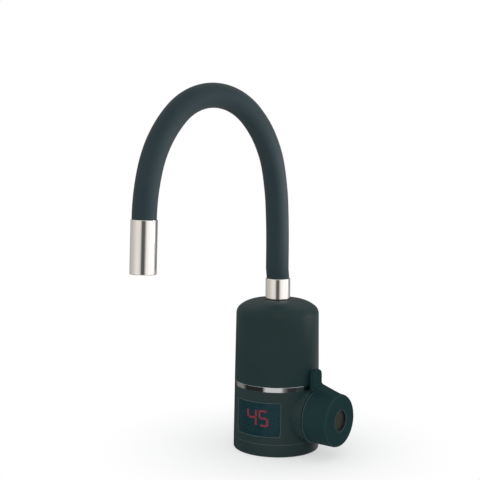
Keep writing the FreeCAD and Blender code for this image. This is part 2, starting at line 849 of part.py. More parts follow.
button_r = as_size(1.2)
switch_box = box((9.0, switch_half * 2, 20), (-switch_x - 9, -switch_half, axis_z - 10))
keep("microswitch", cut(switch_box, [rod_x(button_r + 0.08, -switch_x - 3, -switch_x + 1)]))
keep("microswitch_button", rod_x(button_r, -switch_x - 0.9, -pin_end - 0.02))


def arc_through(start, heading, end):
    """The arc that leaves start along heading and ends at end."""
    chord = end.sub(start)
    unit = Vector(chord).normalize()
    lean = heading.sub(Vector(unit).multiply(heading.dot(unit)))
    if lean.Length < 1e-9:
        return Part.LineSegment(start, end).toShape()
    half = math.acos(max(-1.0, min(1.0, heading.dot(unit)))) / 2.0
    sag = lean.normalize().multiply(chord.Length / 2.0 * math.tan(half))
    middle = start.add(end).multiply(0.5).add(sag)
    return Part.Arc(start, middle, end).toShape()


def biarc(p0, t0, p1, t1):
    """Two arcs that join two points with the given headings."""
    v = p1.sub(p0)
    t = t0.add(t1)
    k = 2.0 * (1.0 - t0.dot(t1))
    if abs(k) < 1e-9:
        d = v.dot(v) / (4.0 * v.dot(t1))
    else:
        d = (-v.dot(t) + math.sqrt(v.dot(t) ** 2 + k * v.dot(v))) / k
    joint = p0.add(p1).add(t0.sub(t1).multiply(d)).multiply(0.5)
    second = arc_through(p1, Vector(t1).negative(), joint)
    return [arc_through(p0, t0, joint), second]


def pipe(edges, radius, start, heading):
    """A round bar along a chain of edges."""
    spine = Part.Wire(Part.__sortEdges__(edges))
    ring = Part.Wire([Part.Circle(start, heading, radius).toShape()])
    return spine.makePipeShell([ring], True, False)


# Return spring of the push plate, wound about the handle's axis
spring_r = 4.0
spring_wire = 0.45
spring_turns = 3
spring_start = -push_x.value - 1.2 - spring_wire - 0.05
spring_end = 1.5 - cap_end.value + spring_wire + 0.05
spring_pitch = (spring_end - spring_start) / spring_turns


def spring_point(angle):
    turns = angle / (2.0 * math.pi)
    return Vector(
        spring_start + spring_pitch * turns,
        spring_r * math.cos(angle),
        axis_z.value + spring_r * math.sin(angle),
    )


def spring_heading(angle):
    along = spring_pitch / (2.0 * math.pi)
    return Vector(along, -spring_r * math.sin(angle), spring_r * math.cos(angle)).normalize()


spring_edges = []
for quarter in range(spring_turns * 4):
    a0 = quarter * math.pi / 2.0
    a1 = a0 + math.pi / 2.0
    spring_edges += biarc(spring_point(a0), spring_heading(a0), spring_point(a1), spring_heading(a1))
spring = doc.addObject("Part::Feature", "Spring")
spring.Shape = pipe(spring_edges, spring_wire, spring_point(0.0), spring_heading(0.0))
print("return spring, least gap between turns: %.2f mm" % (abs(spring_pitch) - 2.0 * spring_wire))
keep("return_spring", spring)

# Heater: transfer tube, lid on the trim ring, chamber, seal, element, controls
keep("transfer_tube", tube(as_size(4.5), as_size(3.2), column_top - 4, lid_top))
spigot_in = can_r - can_wall - 0.4
lid = turned(
    [
        (0, ring_top),
        (lid_r, ring_top),
        (lid_r, lid_top),
        (spigot_in, lid_top),
        (spigot_in, lid_top + 4),
        (spigot_in - 3, lid_top + 4),
        (spigot_in - 3, lid_top - 1),
        (0, lid_top - 1),
    ]
)
lid_cuts = [cylinder(4.6, 10, (0, 0, ring_top - 1))]
leg_spots = [(leg_x * sx, leg_y * sy) for sx in (-1, 1) for sy in (-1, 1)]
for x, y in leg_spots:
    lid_cuts.append(cylinder(sheath_r + 0.1, 10, (x, y, ring_top - 1)))
lid_ring = lid_r - 1.4
lid_screw_things = []
flange_cuts = []
for angle in LID_SCREW_ANGLES:
    x, y = polar(lid_ring, angle)
    lid_cuts.append(cylinder(0.95, 10, (x, y, ring_top - 1)))
    flange_cuts.append(cylinder(0.95, 10, (x, y, lid_top - 1)))
    low = lid_top + 5
    lid_screw_things.append(
        turned(
            [
                (0, ring_top + 0.5),
                (0.9, ring_top + 0.5),
                (0.9, low),
                (1.35, low),
                (1.35, low + 1.5),
                (0, low + 1.5),
            ],
            at=(x, y, 0),
        )
    )
keep("heater_lid", cut(lid, lid_cuts))
can = turned(
    [
        (can_r - can_wall, lid_top),
        (lid_r, lid_top),
        (lid_r, lid_top + 5),
        (can_r, lid_top + 5),
        (can_r, can_top),
        (neck_r, can_top),
        (neck_r, neck_top),
        (stem_out + 0.06, neck_top),
        (stem_out + 0.06, can_top - 2.5),
        (can_r - can_wall, can_top - 2.5),
    ]
)
keep("heater_chamber", cut(can, flange_cuts))
keep("lid_screws", group(lid_screw_things))
keep("heater_seal", tube(can_r - can_wall - 0.02, spigot_in + 0.02, lid_top + 0.2, lid_top + 3.4))
hairpins = []
nut_things = []
leg_low = ring_z - 2
bend_z = can_top - 2.5 - leg_x - sheath_r - 1.5
for side in (-1, 1):
    y = leg_y * side
    bend = doc.addObject("Part::Torus", "Bend")
    bind(bend, "Radius1", leg_x)
    bind(bend, "Radius2", sheath_r)
    bend.Angle3 = 180
    place(bend, (0, y, bend_z), Rotation(Vector(1, 0, 0), 90))
    legs = [cylinder(sheath_r, bend_z - leg_low, (leg_x * sx, y, leg_low)) for sx in (-1, 1)]
    hairpins.append(fuse([bend] + legs))
for x, y in leg_spots:
    nut_things.append(
        turned(
            [
                (sheath_r + 0.05, ring_top - 2.6),
                (4.4, ring_top - 2.6),
                (4.4, ring_top),
                (sheath_r + 0.05, ring_top),
            ],
            at=(x, y, 0),
        )
    )
keep("heating_element", group(hairpins))
keep("element_nuts", group(nut_things))
keep(
    "thermal_cutout",
    turned(
        [
            (0, ring_top - 8),
            (6.0, ring_top - 8),
            (6.0, ring_top - 2),
            (7.5, ring_top - 2),
            (7.5, ring_top),
            (0, ring_top),
        ],
        at=(0, -13, 0),
    ),
)
keep(
    "temperature_sensor",
    turned(
        [
            (0, ring_top - 6),
            (2.6, ring_top - 6),
            (2.6, ring_top - 3),
            (4.5, ring_top - 3),
            (4.5, ring_top),
            (0, ring_top),
        ],
        at=(0, 13, 0),
    ),
)
terminal_holes = []
for step in (-1, 0, 1):
    terminal_holes.append(cylinder(1.4, 6, (as_size(-11.0) + 3.8 * step, 18.5, plate_floor + 4)))
keep("terminal_block", cut(box((12, 7, 8.5), (-17, 15, plate_floor)), terminal_holes))
gland_r = as_size(6.0)
gland_bore = cell("gland_bore", 3.6, "cable bore of the gland")
keep(
    "cable_gland",
    turned(
        [
            (gland_bore, 0),
            (7.6, 0),
            (7.6, 2.5),
            (gland_r, 2.5),
            (gland_r, 10.8),
            (9.0, 10.8),
            (9.0, 12.8),
            (7.6, 12.8),
            (6.6, 19.0),
            (gland_bore, 19.0),
        ],
        at=(0, base_r - 10.05, gland_z),
        turn=TO_Y,
    ),
)

# Swivel stem, its O-rings, clip, nut and the steel ferrule
stem_low = can_top + 1.5
groove_one = stem_low + 1.4
groove_two = stem_low + 5.0
groove_h = as_size(1.5)
clip_z = neck_top + 0.1
flange_z = ferrule_low + 0.15
keep(
    "spout_stem",
    turned(
        [
            (3.0, stem_low),
            (stem_out, stem_low),
            (stem_out, groove_one),
            (5.2, groove_one),
            (5.2, groove_one + groove_h),
            (stem_out, groove_one + groove_h),
            (stem_out, groove_two),
            (5.2, groove_two),
            (5.2, groove_two + groove_h),
            (stem_out, groove_two + groove_h),
            (stem_out, clip_z),
            (5.6, clip_z),
            (5.6, clip_z + 1.1),
            (stem_out, clip_z + 1.1),
            (stem_out, flange_z),
            (hose_r - 0.02, flange_z),
            (hose_r - 0.02, hose_low),
            (core_bore - 0.08, hose_low),
            (core_bore - 0.08, hose_low + 11),
            (3.0, hose_low + 11),
        ]
    ),
)
ring_small = as_size(0.62)
keep(
    "stem_o_rings",
    group(
        [
            torus(5.25 + ring_small, ring_small, (0, 0, groove_one + groove_h / 2)),
            torus(5.25 + ring_small, ring_small, (0, 0, groove_two + groove_h / 2)),
        ]
    ),
)
keep("spout_clip", tube(as_size(8.8), as_size(5.65), clip_z + 0.05, clip_z + 1.05))
keep(
    "spout_nut",
    turned(
        [
            (neck_r + 0.05, neck_top - 4),
            (13.0, neck_top - 4),
            (13.0, neck_top + 3.5),
            (stem_out + 0.2, neck_top + 3.5),
            (stem_out + 0.2, neck_top + 1.5),
            (neck_r + 0.05, neck_top + 1.5),
        ]
    ),
)
lip = as_size(0.4)
keep(
    "spout_ferrule",
    turned(
        [
            (hose_r + 0.02, ferrule_low),
            (ferrule_r - lip, ferrule_low),
            (ferrule_r, ferrule_low + lip, (lip, 1)),
            (ferrule_r, ferrule_high - lip),
            (ferrule_r - lip, ferrule_high, (lip, 1)),
            (hose_r + 0.02, ferrule_high),
        ]
    ),
)

# Arch of the spout: straight riser, then bends given as radius and turn in degrees
RISER_BENDS = ((bend_a, 15.0), (bend_b, 30.0))
CROWN_BENDS = ((bend_c, 45.0), (bend_c, 45.0))
DROP_BENDS = ((bend_b, 30.0), (bend_d, 13.5))


def follow(start, heading, runs):
    """Edges of a path in the XZ plane; a run is a length, or a radius and its turn."""
    edges = []
    here = Vector(start)
    for run in runs:
        if not isinstance(run, tuple):
            there = here.add(polar_heading(heading).multiply(run))
            edges.append(Part.LineSegment(here, there).toShape())
            here = there
            continue
        radius, turn = as_size(run[0]).value, run[1]
        centre = here.add(polar_heading(heading - 90.0).multiply(radius))
        middle = centre.add(polar_heading(heading + 90.0 - turn / 2.0).multiply(radius))
        there = centre.add(polar_heading(heading + 90.0 - turn).multiply(radius))
        edges.append(Part.Arc(here, middle, there).toShape())
        here = there
        heading = heading - turn
    return edges, here, heading


def polar_heading(angle):
    return Vector(math.cos(math.radians(angle)), 0, math.sin(math.radians(angle)))


def hose_piece(name, start, heading, runs, r_out, r_in):
    """One length of the hose with its bore."""
    edges, end, last = follow(start, heading, runs)
    piece = doc.addObject("Part::Feature", "Hose")
    outer = pipe(edges, r_out.value, start, polar_heading(heading))
    inner = pipe(edges, r_in.value, start, polar_heading(heading))
    piece.Shape = outer.cut(inner)
    keep(name, piece, YAW_SPOUT)
    return end, last


foot = Vector(0, 0, hose_low.value)
riser_runs = [riser_z.value - hose_low.value] + list(RISER_BENDS)
drop_runs = list(DROP_BENDS) + [hose_in.value]
for layer, r_out, r_in in (("sleeve", hose_r, hose_bore), ("core", core_r, core_bore)):
    spot, heading = hose_piece("hose_%s_riser" % layer, foot, 90.0, riser_runs, r_out, r_in)
    spot, heading = hose_piece("hose_%s_crown" % layer, spot, heading, list(CROWN_BENDS), r_out, r_in)
    spot, heading = hose_piece("hose_%s_drop" % layer, spot, heading, drop_runs, r_out, r_in)
outlet_top = spot.sub(polar_heading(heading).multiply(hose_in.value))
print("outlet top at s %.2f z %.2f, heading %.2f" % (outlet_top.x, outlet_top.z, heading))

# Outlet: steel sleeve, adaptor with barb and aerator, along the hose's last run
outlet_turn = YAW_SPOUT.multiply(Rotation(Vector(0, 1, 0), -(heading + 90.0)))


def keep_outlet(name, thing):
    thing.Placement = Placement(YAW_SPOUT.multVec(outlet_top), outlet_turn)
    thing.Label = name
    parts[name] = thing


def hanging(points):
    """A turned piece that hangs from the top of the outlet."""
    body = turned(points)
    for axis in "xyz":
        body.setExpression("Placement.Base.%s" % axis, None)
    return body


sleeve_in = hose_r + 0.02
keep_outlet(
    "outlet_sleeve",
    hanging(
        [
            (sleeve_in, 0),
            (outlet_r - lip, 0),
            (outlet_r, -lip, (lip, -1)),
            (outlet_r, lip - outlet_len),
            (outlet_r - lip, -outlet_len, (lip, -1)),
            (sleeve_in, -outlet_len),
        ]
    ),
)
adaptor_low = hose_in + 8
keep_outlet(
    "outlet_adaptor",
    hanging(
        [
            (3.0, 2 - hose_in + 2),
            (core_bore - 0.08, 2 - hose_in + 2),
            (core_bore - 0.08, -hose_in - 0.1),
            (hose_r, -hose_in - 0.1),
            (hose_r, -adaptor_low),
            (3.0, -adaptor_low),
        ]
    ),
)
aerator_low = outlet_len - 0.7
aerator = hanging(
    [
        (0, -adaptor_low - 0.1),
        (hose_r, -adaptor_low - 0.1),
        (hose_r, -aerator_low),
        (hose_r - 1.2, -aerator_low),
        (hose_r - 1.2, 1.2 - aerator_low),
        (0, 1.2 - aerator_low),
    ]
)
jets = []
for ring, count in ((2.2, 6), (5.0, 12)):
    for step in range(count):
        x, y = polar(as_size(ring), 360.0 * step / count)
        jets.append(cylinder(0.7, 20, (x, y, -aerator_low - 2)))
keep_outlet("aerator", cut(aerator, jets))

doc.recompute()
for thing in doc.Objects:
    wrong = [word for word in thing.State if word in ("Invalid", "Error")]
    if wrong:
        raise RuntimeError("%s %s is %s" % (thing.Name, thing.Label, wrong))
os.makedirs("parts", exist_ok=True)
for name, thing in parts.items():
    shape = thing.Shape
    if shape.isNull() or not shape.isValid() or not shape.Solids:
        raise RuntimeError("%s has no sound solid" % name)
    shape.exportStep(os.path.join("parts", name + ".step"))
    print("%-22s solids %d volume %9.1f" % (name, len(shape.Solids), shape.Volume))
print("%d nodes" % len(parts))
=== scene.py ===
"""Looks of the electric instant water heater tap: materials, dressed pieces, light and camera."""

import json
import math

import bmesh
import bpy
from mathutils import Matrix, Vector


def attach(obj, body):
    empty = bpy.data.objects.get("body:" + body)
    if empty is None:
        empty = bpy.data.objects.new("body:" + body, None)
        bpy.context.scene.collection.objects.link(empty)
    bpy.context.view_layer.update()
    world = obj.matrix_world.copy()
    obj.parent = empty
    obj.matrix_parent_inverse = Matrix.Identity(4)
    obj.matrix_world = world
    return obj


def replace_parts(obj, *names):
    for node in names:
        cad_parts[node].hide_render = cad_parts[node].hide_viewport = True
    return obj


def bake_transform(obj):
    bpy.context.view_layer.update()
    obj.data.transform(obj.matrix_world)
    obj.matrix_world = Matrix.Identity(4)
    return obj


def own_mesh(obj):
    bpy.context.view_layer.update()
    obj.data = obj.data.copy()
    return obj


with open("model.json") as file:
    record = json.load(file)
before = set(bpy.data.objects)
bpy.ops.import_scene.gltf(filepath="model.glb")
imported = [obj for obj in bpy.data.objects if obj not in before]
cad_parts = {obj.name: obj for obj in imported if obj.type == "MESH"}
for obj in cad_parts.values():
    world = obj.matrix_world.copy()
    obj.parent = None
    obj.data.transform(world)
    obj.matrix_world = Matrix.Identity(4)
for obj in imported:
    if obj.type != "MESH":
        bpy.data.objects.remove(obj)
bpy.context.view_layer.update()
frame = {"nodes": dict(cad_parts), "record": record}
nodes = frame["nodes"]
MM = 0.001
FULL_TURN = 2.0 * math.pi

# Sizes of the object are in millimetres, as in the part's source

# Arch of the hose in its own plane; each bend has a radius and a turn in degrees
SPOUT_TURN = math.radians(13.6)
HOSE_RADIUS = 8.6
LINING_RADIUS = 6.9
HOSE_START = 115.4
RISER_TOP = 168.8
HOSE_TAIL = 15.9
ARCH_BENDS = ((170.0, 15.0), (85.0, 30.0), (46.0, 90.0), (85.0, 30.0), (151.0, 13.5))
TUBE_SIDES = 64
TUBE_STEP = 1.4
LEAST_BEND_STEPS = 4

# Soft lean of the riser and swelling in the bends: sizes, and heights as (start, end) or (middle, width)
LEAN_STAND = 0.85
LEAN_RISE = (128.0, 138.0)
LEAN_FALL = (195.0, 225.0)
LEAN_BULGE = 0.5
LEAN_BULGE_AT = (178.0, 14.0)
LEAN_BACK = 0.4
LEAN_BACK_AT = (241.0, 12.0)
SWELL_INSIDE = 0.6
SWELL_OUTSIDE = 0.6

# Body, trim ring and display
BODY_RADIUS = 32.5
MID_RADIUS = 32.05
SEAM_TOP = 9.5
RING_BOTTOM = 48.5
RING_TOP = 52.2
RING_OUTER = 32.02
RING_INNER = 24.2
RING_ROUND = 0.15
RING_FLAT_GAP = 0.06
DISPLAY_TURN = math.radians(8.0)
WINDOW_HALF = 17.8
WINDOW_LOW = 15.2
WINDOW_HIGH = 40.3
WINDOW_CORNER = 1.5

# Handle
AXIS_HEIGHT = 29.0
HUB_RADIUS = 19.5
HUB_REAR = 36.9
HUB_FACE = 58.1
DISH_RADIUS = 7.9
SOFTEN_GRID = 0.4
SOFTEN_SHARE = 0.5
SOFTEN_ROUNDS = 6

# Beads along edges: thickness as a radius, and place against the edge
BEAD_SIDES = 10
CIRCLE_STEPS = 180
CORNER_STEPS = 6
WINDOW_STEP = 0.8
WINDOW_BEAD = 0.26
WINDOW_BEAD_OUT = 0.12
HUB_BEAD = 0.30
HUB_BEAD_IN = 0.05
HUB_BEAD_AT = 0.45
DISH_BEAD = 0.22
DISH_BEAD_OUT = 0.1
DISH_BEAD_BELOW = 0.25
FACE_BEAD = 0.24
FACE_BEAD_IN = 0.72
FACE_BEAD_BELOW = 1.0
SEAM_BEAD = 0.18
SEAM_BEAD_IN = 0.12
SEAM_BEAD_BELOW = 0.15

# Turned pieces
LATHE_STEPS = 256
LATHE_SHARP = math.radians(20.0)
ROUND_STEPS = 5

# Return spring of the push plate
SPRING_RADIUS = 4.0
SPRING_WIRE = 0.45
SPRING_TURNS = 3
SPRING_START = -11.7
SPRING_END = -16.5
SPRING_STEPS = 40
SPRING_SIDES = 12

# Cable gland's tapered nose and its ribs
GLAND_HEIGHT = 27.0
GLAND_NOSE = 35.25
GLAND_TIP = 41.45
GLAND_WIDE = 7.6
GLAND_SLIM = 6.6
GRIP_COUNT = 20
GRIP_STEPS = 12
GRIP_SIDES = 10
GRIP_START = 35.6
GRIP_END = 40.7
GRIP_HALF = 0.55
GRIP_RISE = 0.55
GRIP_SINK = 0.1
GRIP_ROUNDING = 0.4
GRIP_END_SHARE = 0.25

# Base plate's screws
SCREW_RING = 24.8
SCREW_TURNS = (90.0, 210.0, 330.0)
SCREW_SIDES = 32
SCREW_HEAD = 2.9
SCREW_SHANK = 1.5
SCREW_LOW = 0.4
SCREW_TOP = 2.15
SCREW_END = 14.6
SCREW_ROUND = 0.5
SCREW_ROUND_MID = 0.15
SCREW_POINT = 0.6
SCREW_POINT_RADIUS = 0.3
SCREW_SHARP = math.radians(30.0)
RECESS_ARM = 1.55
RECESS_HALF = 0.38
RECESS_DEPTH = 1.1
RECESS_ARM_SHARE = 0.55
RECESS_HALF_SHARE = 0.7


def link(obj):
    bpy.context.scene.collection.objects.link(obj)
    return obj


# Materials: scales of noise are per metre, depths of relief are in metres, and gloss gives how far
# the roughness varies
RAMP_START = 0.3
RAMP_END = 0.7
MOTTLE_SCALE = 40.0
PATCH_SCALE = 160.0
PATCH_GLOSS = 0.05
SPARK_SCALE = 3200.0
SPARK_DEPTH = 0.00004
LINE_SCALE = 900.0
LINE_DEPTH = 0.00002
LINE_GLOSS = (0.8, 1.25)
TOOL_SCALE = 5200.0
TOOL_GRAIN = 0.12
TOOL_DETAIL = 3.0
TOOL_GLOSS = (0.85, 1.2)
DUST_SCALE = 55.0
DUST_PATCH_SCALE = 240.0
DUST_GLOSS = 0.06
DUST_GRAIN_SCALE = 2600.0
DUST_GRAIN = 0.12
DUST_DEPTH = 0.00003
HAZE_SCALE = 90.0
GLOW_SCALE = 700.0
GLOW_UNEVEN = 0.15
NO_TINT = (1.0, 1.0, 1.0)
WARM_GLOSS = (1.0, 0.50, 0.26)
RUBBER_GLOSS = (1.0, 0.7, 0.6, 1.0)
RUBBER_SHEEN = (1.0, 0.72, 0.66, 1.0)


class Tree:
    """A node tree with short calls to add and join nodes."""

    def __init__(self, tree):
        self.tree = tree

    def add(self, kind, **values):
        node = self.tree.nodes.new(kind)
        for key, value in values.items():
            setattr(node, key, value)
        return node

    def join(self, output, target):
        self.tree.links.new(output, target)


class Graph(Tree):
    """A material's node tree round its shader."""

    def __init__(self, name):
        self.material = bpy.data.materials.new(name)
        self.material.use_nodes = True
        super().__init__(self.material.node_tree)
        self.shader = self.tree.nodes["Principled BSDF"]
        self.place = self.add("ShaderNodeTexCoord").outputs["Object"]

    def noise(self, scale, detail=3.0, rough=0.5, stretch=None):
        """Noise at a scale per metre, stretched along an axis if asked."""
        node = self.add("ShaderNodeTexNoise")
        node.inputs["Scale"].default_value = scale
        node.inputs["Detail"].default_value = detail
        node.inputs["Roughness"].default_value = rough
        if stretch is None:
            self.join(self.place, node.inputs["Vector"])
        else:
            mapping = self.add("ShaderNodeMapping")
            mapping.inputs["Scale"].default_value = stretch
            self.join(self.place, mapping.inputs["Vector"])
            self.join(mapping.outputs["Vector"], node.inputs["Vector"])
        return node.outputs["Fac"]

    def vector(self, operation, source, other=None):
        """A step of vector arithmetic on the source, with a fixed second vector if it has one."""
        node = self.add("ShaderNodeVectorMath", operation=operation)
        self.join(source, node.inputs[0])
        if other is not None:
            node.inputs[1].default_value = other
        return node

    def ramp(self, source, low, high):
        """Colours from low to high over the middle of the source."""
        node = self.add("ShaderNodeValToRGB")
        node.color_ramp.elements[0].position = RAMP_START
        node.color_ramp.elements[1].position = RAMP_END
        node.color_ramp.elements[0].color = (*low, 1.0)
        node.color_ramp.elements[1].color = (*high, 1.0)
        self.join(source, node.inputs["Fac"])
        return node.outputs["Color"]

    def span(self, source, low, high):
        """A number from low to high over the source."""
        node = self.add("ShaderNodeMapRange")
        node.inputs["To Min"].default_value = low
        node.inputs["To Max"].default_value = high
        self.join(source, node.inputs["Value"])
        return node.outputs["Result"]

    def bump(self, source, strength, depth):
        node = self.add("ShaderNodeBump")
        node.inputs["Strength"].default_value = strength
        node.inputs["Distance"].default_value = depth
        self.join(source, node.inputs["Height"])
        self.join(node.outputs["Normal"], self.shader.inputs["Normal"])

    def feed(self, output, socket):
        """An output joined to one of the shader's sockets."""
        self.join(output, self.shader.inputs[socket])

    def set(self, **values):
        """Constants on the shader's own sockets, by name with underscores for spaces."""
        for key, value in values.items():
            self.shader.inputs[key.replace("_", " ")].default_value = value


def plastic(name, low, high, rough, grain, spec=0.25, tint=NO_TINT):
    """Moulded plastic: slight mottling, fine spark texture and uneven, tinted gloss."""
    g = Graph(name)
    g.feed(g.ramp(g.noise(MOTTLE_SCALE, detail=4.0), low, high), "Base Color")
    g.feed(g.span(g.noise(PATCH_SCALE), rough - PATCH_GLOSS, rough + PATCH_GLOSS), "Roughness")
    g.bump(g.noise(SPARK_SCALE, detail=2.0), grain, SPARK_DEPTH)
    g.set(Specular_IOR_Level=spec, Specular_Tint=(*tint, 1.0))
    return g.material


def metal(name, low, high, rough, grain, stretch=(1.0, 1.0, 1.0)):
    """Bare metal with fine drawing lines along an axis."""
    g = Graph(name)
    lines = g.noise(LINE_SCALE, detail=4.0, rough=0.6, stretch=stretch)
    g.feed(g.ramp(lines, low, high), "Base Color")
    g.feed(g.span(lines, rough * LINE_GLOSS[0], rough * LINE_GLOSS[1]), "Roughness")
    g.bump(lines, grain, LINE_DEPTH)
    g.set(Metallic=1.0)
    return g.material


def spun_metal(name, low, high, rough, centre):
    """Metal turned about an axis along X, with fine rings from the tool."""
    g = Graph(name)
    shift = g.vector("SUBTRACT", g.place, centre)
    flat = g.vector("MULTIPLY", shift.outputs["Vector"], (0.0, 1.0, 1.0))
    far = g.vector("LENGTH", flat.outputs["Vector"])
    rings = g.add("ShaderNodeTexNoise", noise_dimensions="1D")
    rings.inputs["Scale"].default_value = TOOL_SCALE
    rings.inputs["Detail"].default_value = TOOL_DETAIL
    g.join(far.outputs["Value"], rings.inputs["W"])
    lines = rings.outputs["Fac"]
    g.feed(g.ramp(lines, low, high), "Base Color")
    g.feed(g.span(lines, rough * TOOL_GLOSS[0], rough * TOOL_GLOSS[1]), "Roughness")
    g.bump(lines, TOOL_GRAIN, LINE_DEPTH)
    g.set(Metallic=1.0)
    return g.material


def rubber(name, low, high, rough, sheen=0.0):
    """Soft rubber or silicone with a dusty, warm sheen."""
    g = Graph(name)
    g.feed(g.ramp(g.noise(DUST_SCALE, detail=5.0), low, high), "Base Color")
    g.feed(g.span(g.noise(DUST_PATCH_SCALE), rough - DUST_GLOSS, rough + DUST_GLOSS), "Roughness")
    g.bump(g.noise(DUST_GRAIN_SCALE), DUST_GRAIN, DUST_DEPTH)
    g.set(Specular_IOR_Level=0.05, Specular_Tint=RUBBER_GLOSS)
    g.set(Sheen_Weight=sheen, Sheen_Roughness=0.5, Sheen_Tint=RUBBER_SHEEN)
    return g.material


def smoked_window():
    """Dark glossy moulding that lets the lit digits through."""
    g = Graph("smoked_window")
    haze = g.noise(HAZE_SCALE, detail=4.0)
    g.feed(g.ramp(haze, low=(0.012, 0.042, 0.050), high=(0.014, 0.046, 0.054)), "Base Color")
    g.feed(g.span(haze, low=0.10, high=0.16), "Roughness")
    g.set(Alpha=0.62, Specular_IOR_Level=0.14)
    return g.material


def glowing(name, colour, strength):
    """Lit bars with a slightly uneven glow."""
    g = Graph(name)
    low, high = strength * (1.0 - GLOW_UNEVEN), strength * (1.0 + GLOW_UNEVEN)
    g.feed(g.span(g.noise(GLOW_SCALE, detail=2.0), low, high), "Emission Strength")
    g.set(Base_Color=(*colour, 1.0), Emission_Color=(*colour, 1.0), Roughness=0.4)
    return g.material


body_plastic = plastic(
    "body_plastic",
    low=(0.0092, 0.0297, 0.0328),
    high=(0.0112, 0.0325, 0.0356),
    rough=0.45,
    grain=0.08,
    spec=0.14,
    tint=WARM_GLOSS,
)
# Lighter, warmer copy of body_plastic for the lower housing and base plate: the extra warmth and
# lightness is a painted warm sheen.
base_plastic_painted_sheen = plastic(
    "base_plastic_painted_sheen",
    low=(0.0122, 0.0334, 0.0356),
    high=(0.0142, 0.0362, 0.0386),
    rough=0.45,
    grain=0.08,
    spec=0.19,
    tint=WARM_GLOSS,
)
handle_plastic = plastic(
    "handle_plastic",
    low=(0.0116, 0.0320, 0.0332),
    high=(0.0138, 0.0350, 0.0362),
    rough=0.50,
    grain=0.08,
    spec=0.01,
)
# Lighter plastic for the beads along the window and the hub's and dish's rims: painted highlight lines
# on these edges.
edge_highlight_plastic = plastic(
    "edge_highlight_plastic",
    low=(0.040, 0.075, 0.075),
    high=(0.050, 0.088, 0.088),
    rough=0.35,
    grain=0.04,
    spec=0.2,
)
# Lighter plastic for the bead inside the hub's front face: a painted highlight line along that rim.
rim_highlight_plastic = plastic(
    "rim_highlight_plastic",
    low=(0.021, 0.043, 0.044),
    high=(0.025, 0.049, 0.050),
    rough=0.40,
    grain=0.04,
    spec=0.1,
)
# Pale plastic for the bead in the seam above the base plate: a painted highlight line along the seam.
seam_highlight_plastic = plastic(
    "seam_highlight_plastic",
    low=(0.085, 0.105, 0.105),
    high=(0.100, 0.120, 0.120),
    rough=0.35,
    grain=0.04,
    spec=0.2,
)
gland_plastic = plastic(
    "gland_plastic",
    low=(0.012, 0.016, 0.017),
    high=(0.018, 0.022, 0.024),
    rough=0.5,
    grain=0.15,
)
pale_plastic = plastic(
    "pale_plastic",
    low=(0.66, 0.64, 0.58),
    high=(0.74, 0.72, 0.66),
    rough=0.5,
    grain=0.10,
)
switch_plastic = plastic(
    "switch_plastic",
    low=(0.03, 0.03, 0.035),
    high=(0.05, 0.05, 0.055),
    rough=0.5,
    grain=0.10,
)
led_case = plastic(
    "led_case",
    low=(0.004, 0.004, 0.004),
    high=(0.007, 0.007, 0.007),
    rough=0.5,
    grain=0.06,
)
board_green = plastic(
    "board_green",
    low=(0.004, 0.030, 0.012),
    high=(0.006, 0.040, 0.016),
    rough=0.35,
    grain=0.05,
)
led_unlit = plastic(
    "led_unlit",
    low=(0.010, 0.006, 0.006),
    high=(0.014, 0.008, 0.008),
    rough=0.35,
    grain=0.05,
)
silicone = rubber(
    "hose_silicone",
    low=(0.0178, 0.0340, 0.0390),
    high=(0.0214, 0.0386, 0.0442),
    rough=0.60,
    sheen=0.075,
)
seal_rubber = rubber(
    "seal_rubber",
    low=(0.010, 0.010, 0.010),
    high=(0.018, 0.018, 0.018),
    rough=0.7,
)
lining = rubber(
    "hose_lining",
    low=(0.07, 0.07, 0.07),
    high=(0.11, 0.11, 0.11),
    rough=0.6,
)
steel_tube = metal(
    "polished_steel",
    low=(0.86, 0.815, 0.77),
    high=(0.93, 0.895, 0.85),
    rough=0.09,
    grain=0.03,
    stretch=(1.0, 1.0, 0.05),
)
chrome = metal(
    "bright_chrome",
    low=(0.84, 0.84, 0.84),
    high=(0.90, 0.90, 0.90),
    rough=0.04,
    grain=0.004,
)
plain_steel = metal(
    "plain_steel",
    low=(0.50, 0.50, 0.50),
    high=(0.62, 0.62, 0.62),
    rough=0.28,
    grain=0.08,
)
brass = metal(
    "turned_brass",
    low=(0.66, 0.47, 0.20),
    high=(0.76, 0.57, 0.28),
    rough=0.25,
    grain=0.08,
)
cap_metal = spun_metal(
    "satin_cap",
    low=(0.084, 0.085, 0.067),
    high=(0.106, 0.107, 0.085),
    rough=0.36,
    centre=(0.0, 0.0, AXIS_HEIGHT * MM),
)
ceramic = plastic(
    "lapped_ceramic",
    low=(0.78, 0.77, 0.74),
    high=(0.84, 0.83, 0.80),
    rough=0.2,
    grain=0.03,
    spec=0.5,
)
window_mat = smoked_window()
led_lit = glowing("led_lit", colour=(0.85, 0.010, 0.045), strength=1.4)

SLOT_LOOKS = {
    "black_plastic": body_plastic,
    "window_smoke": window_mat,
    "led_red": led_lit,
    "led_off": led_unlit,
    "led_case": led_case,
    "board_green": board_green,
    "chrome": chrome,
    "stainless": steel_tube,
    "silicone": silicone,
    "hose_lining": lining,
    "brass": brass,
    "ceramic": ceramic,
    "seal_rubber": seal_rubber,
    "steel": plain_steel,
    "engineering_plastic": pale_plastic,
    "switch_plastic": switch_plastic,
    "cap_metal": cap_metal,
}
NODE_LOOKS = {
    # The lower mouldings take the copy with the painted warm sheen.
    "lower_housing": base_plastic_painted_sheen,
    "base_plate": base_plastic_painted_sheen,
    "handle": handle_plastic,
    "cable_gland": gland_plastic,
}
slot_of = {entry["node"]: entry["material_slot"] for entry in frame["record"]["subparts"]}
for name, obj in nodes.items():
    look = NODE_LOOKS.get(name) or SLOT_LOOKS[slot_of[name]]
    for holder in obj.material_slots:
        holder.material = look
    if not obj.material_slots:
        obj.data.materials.append(look)


# Meshes from rings of points


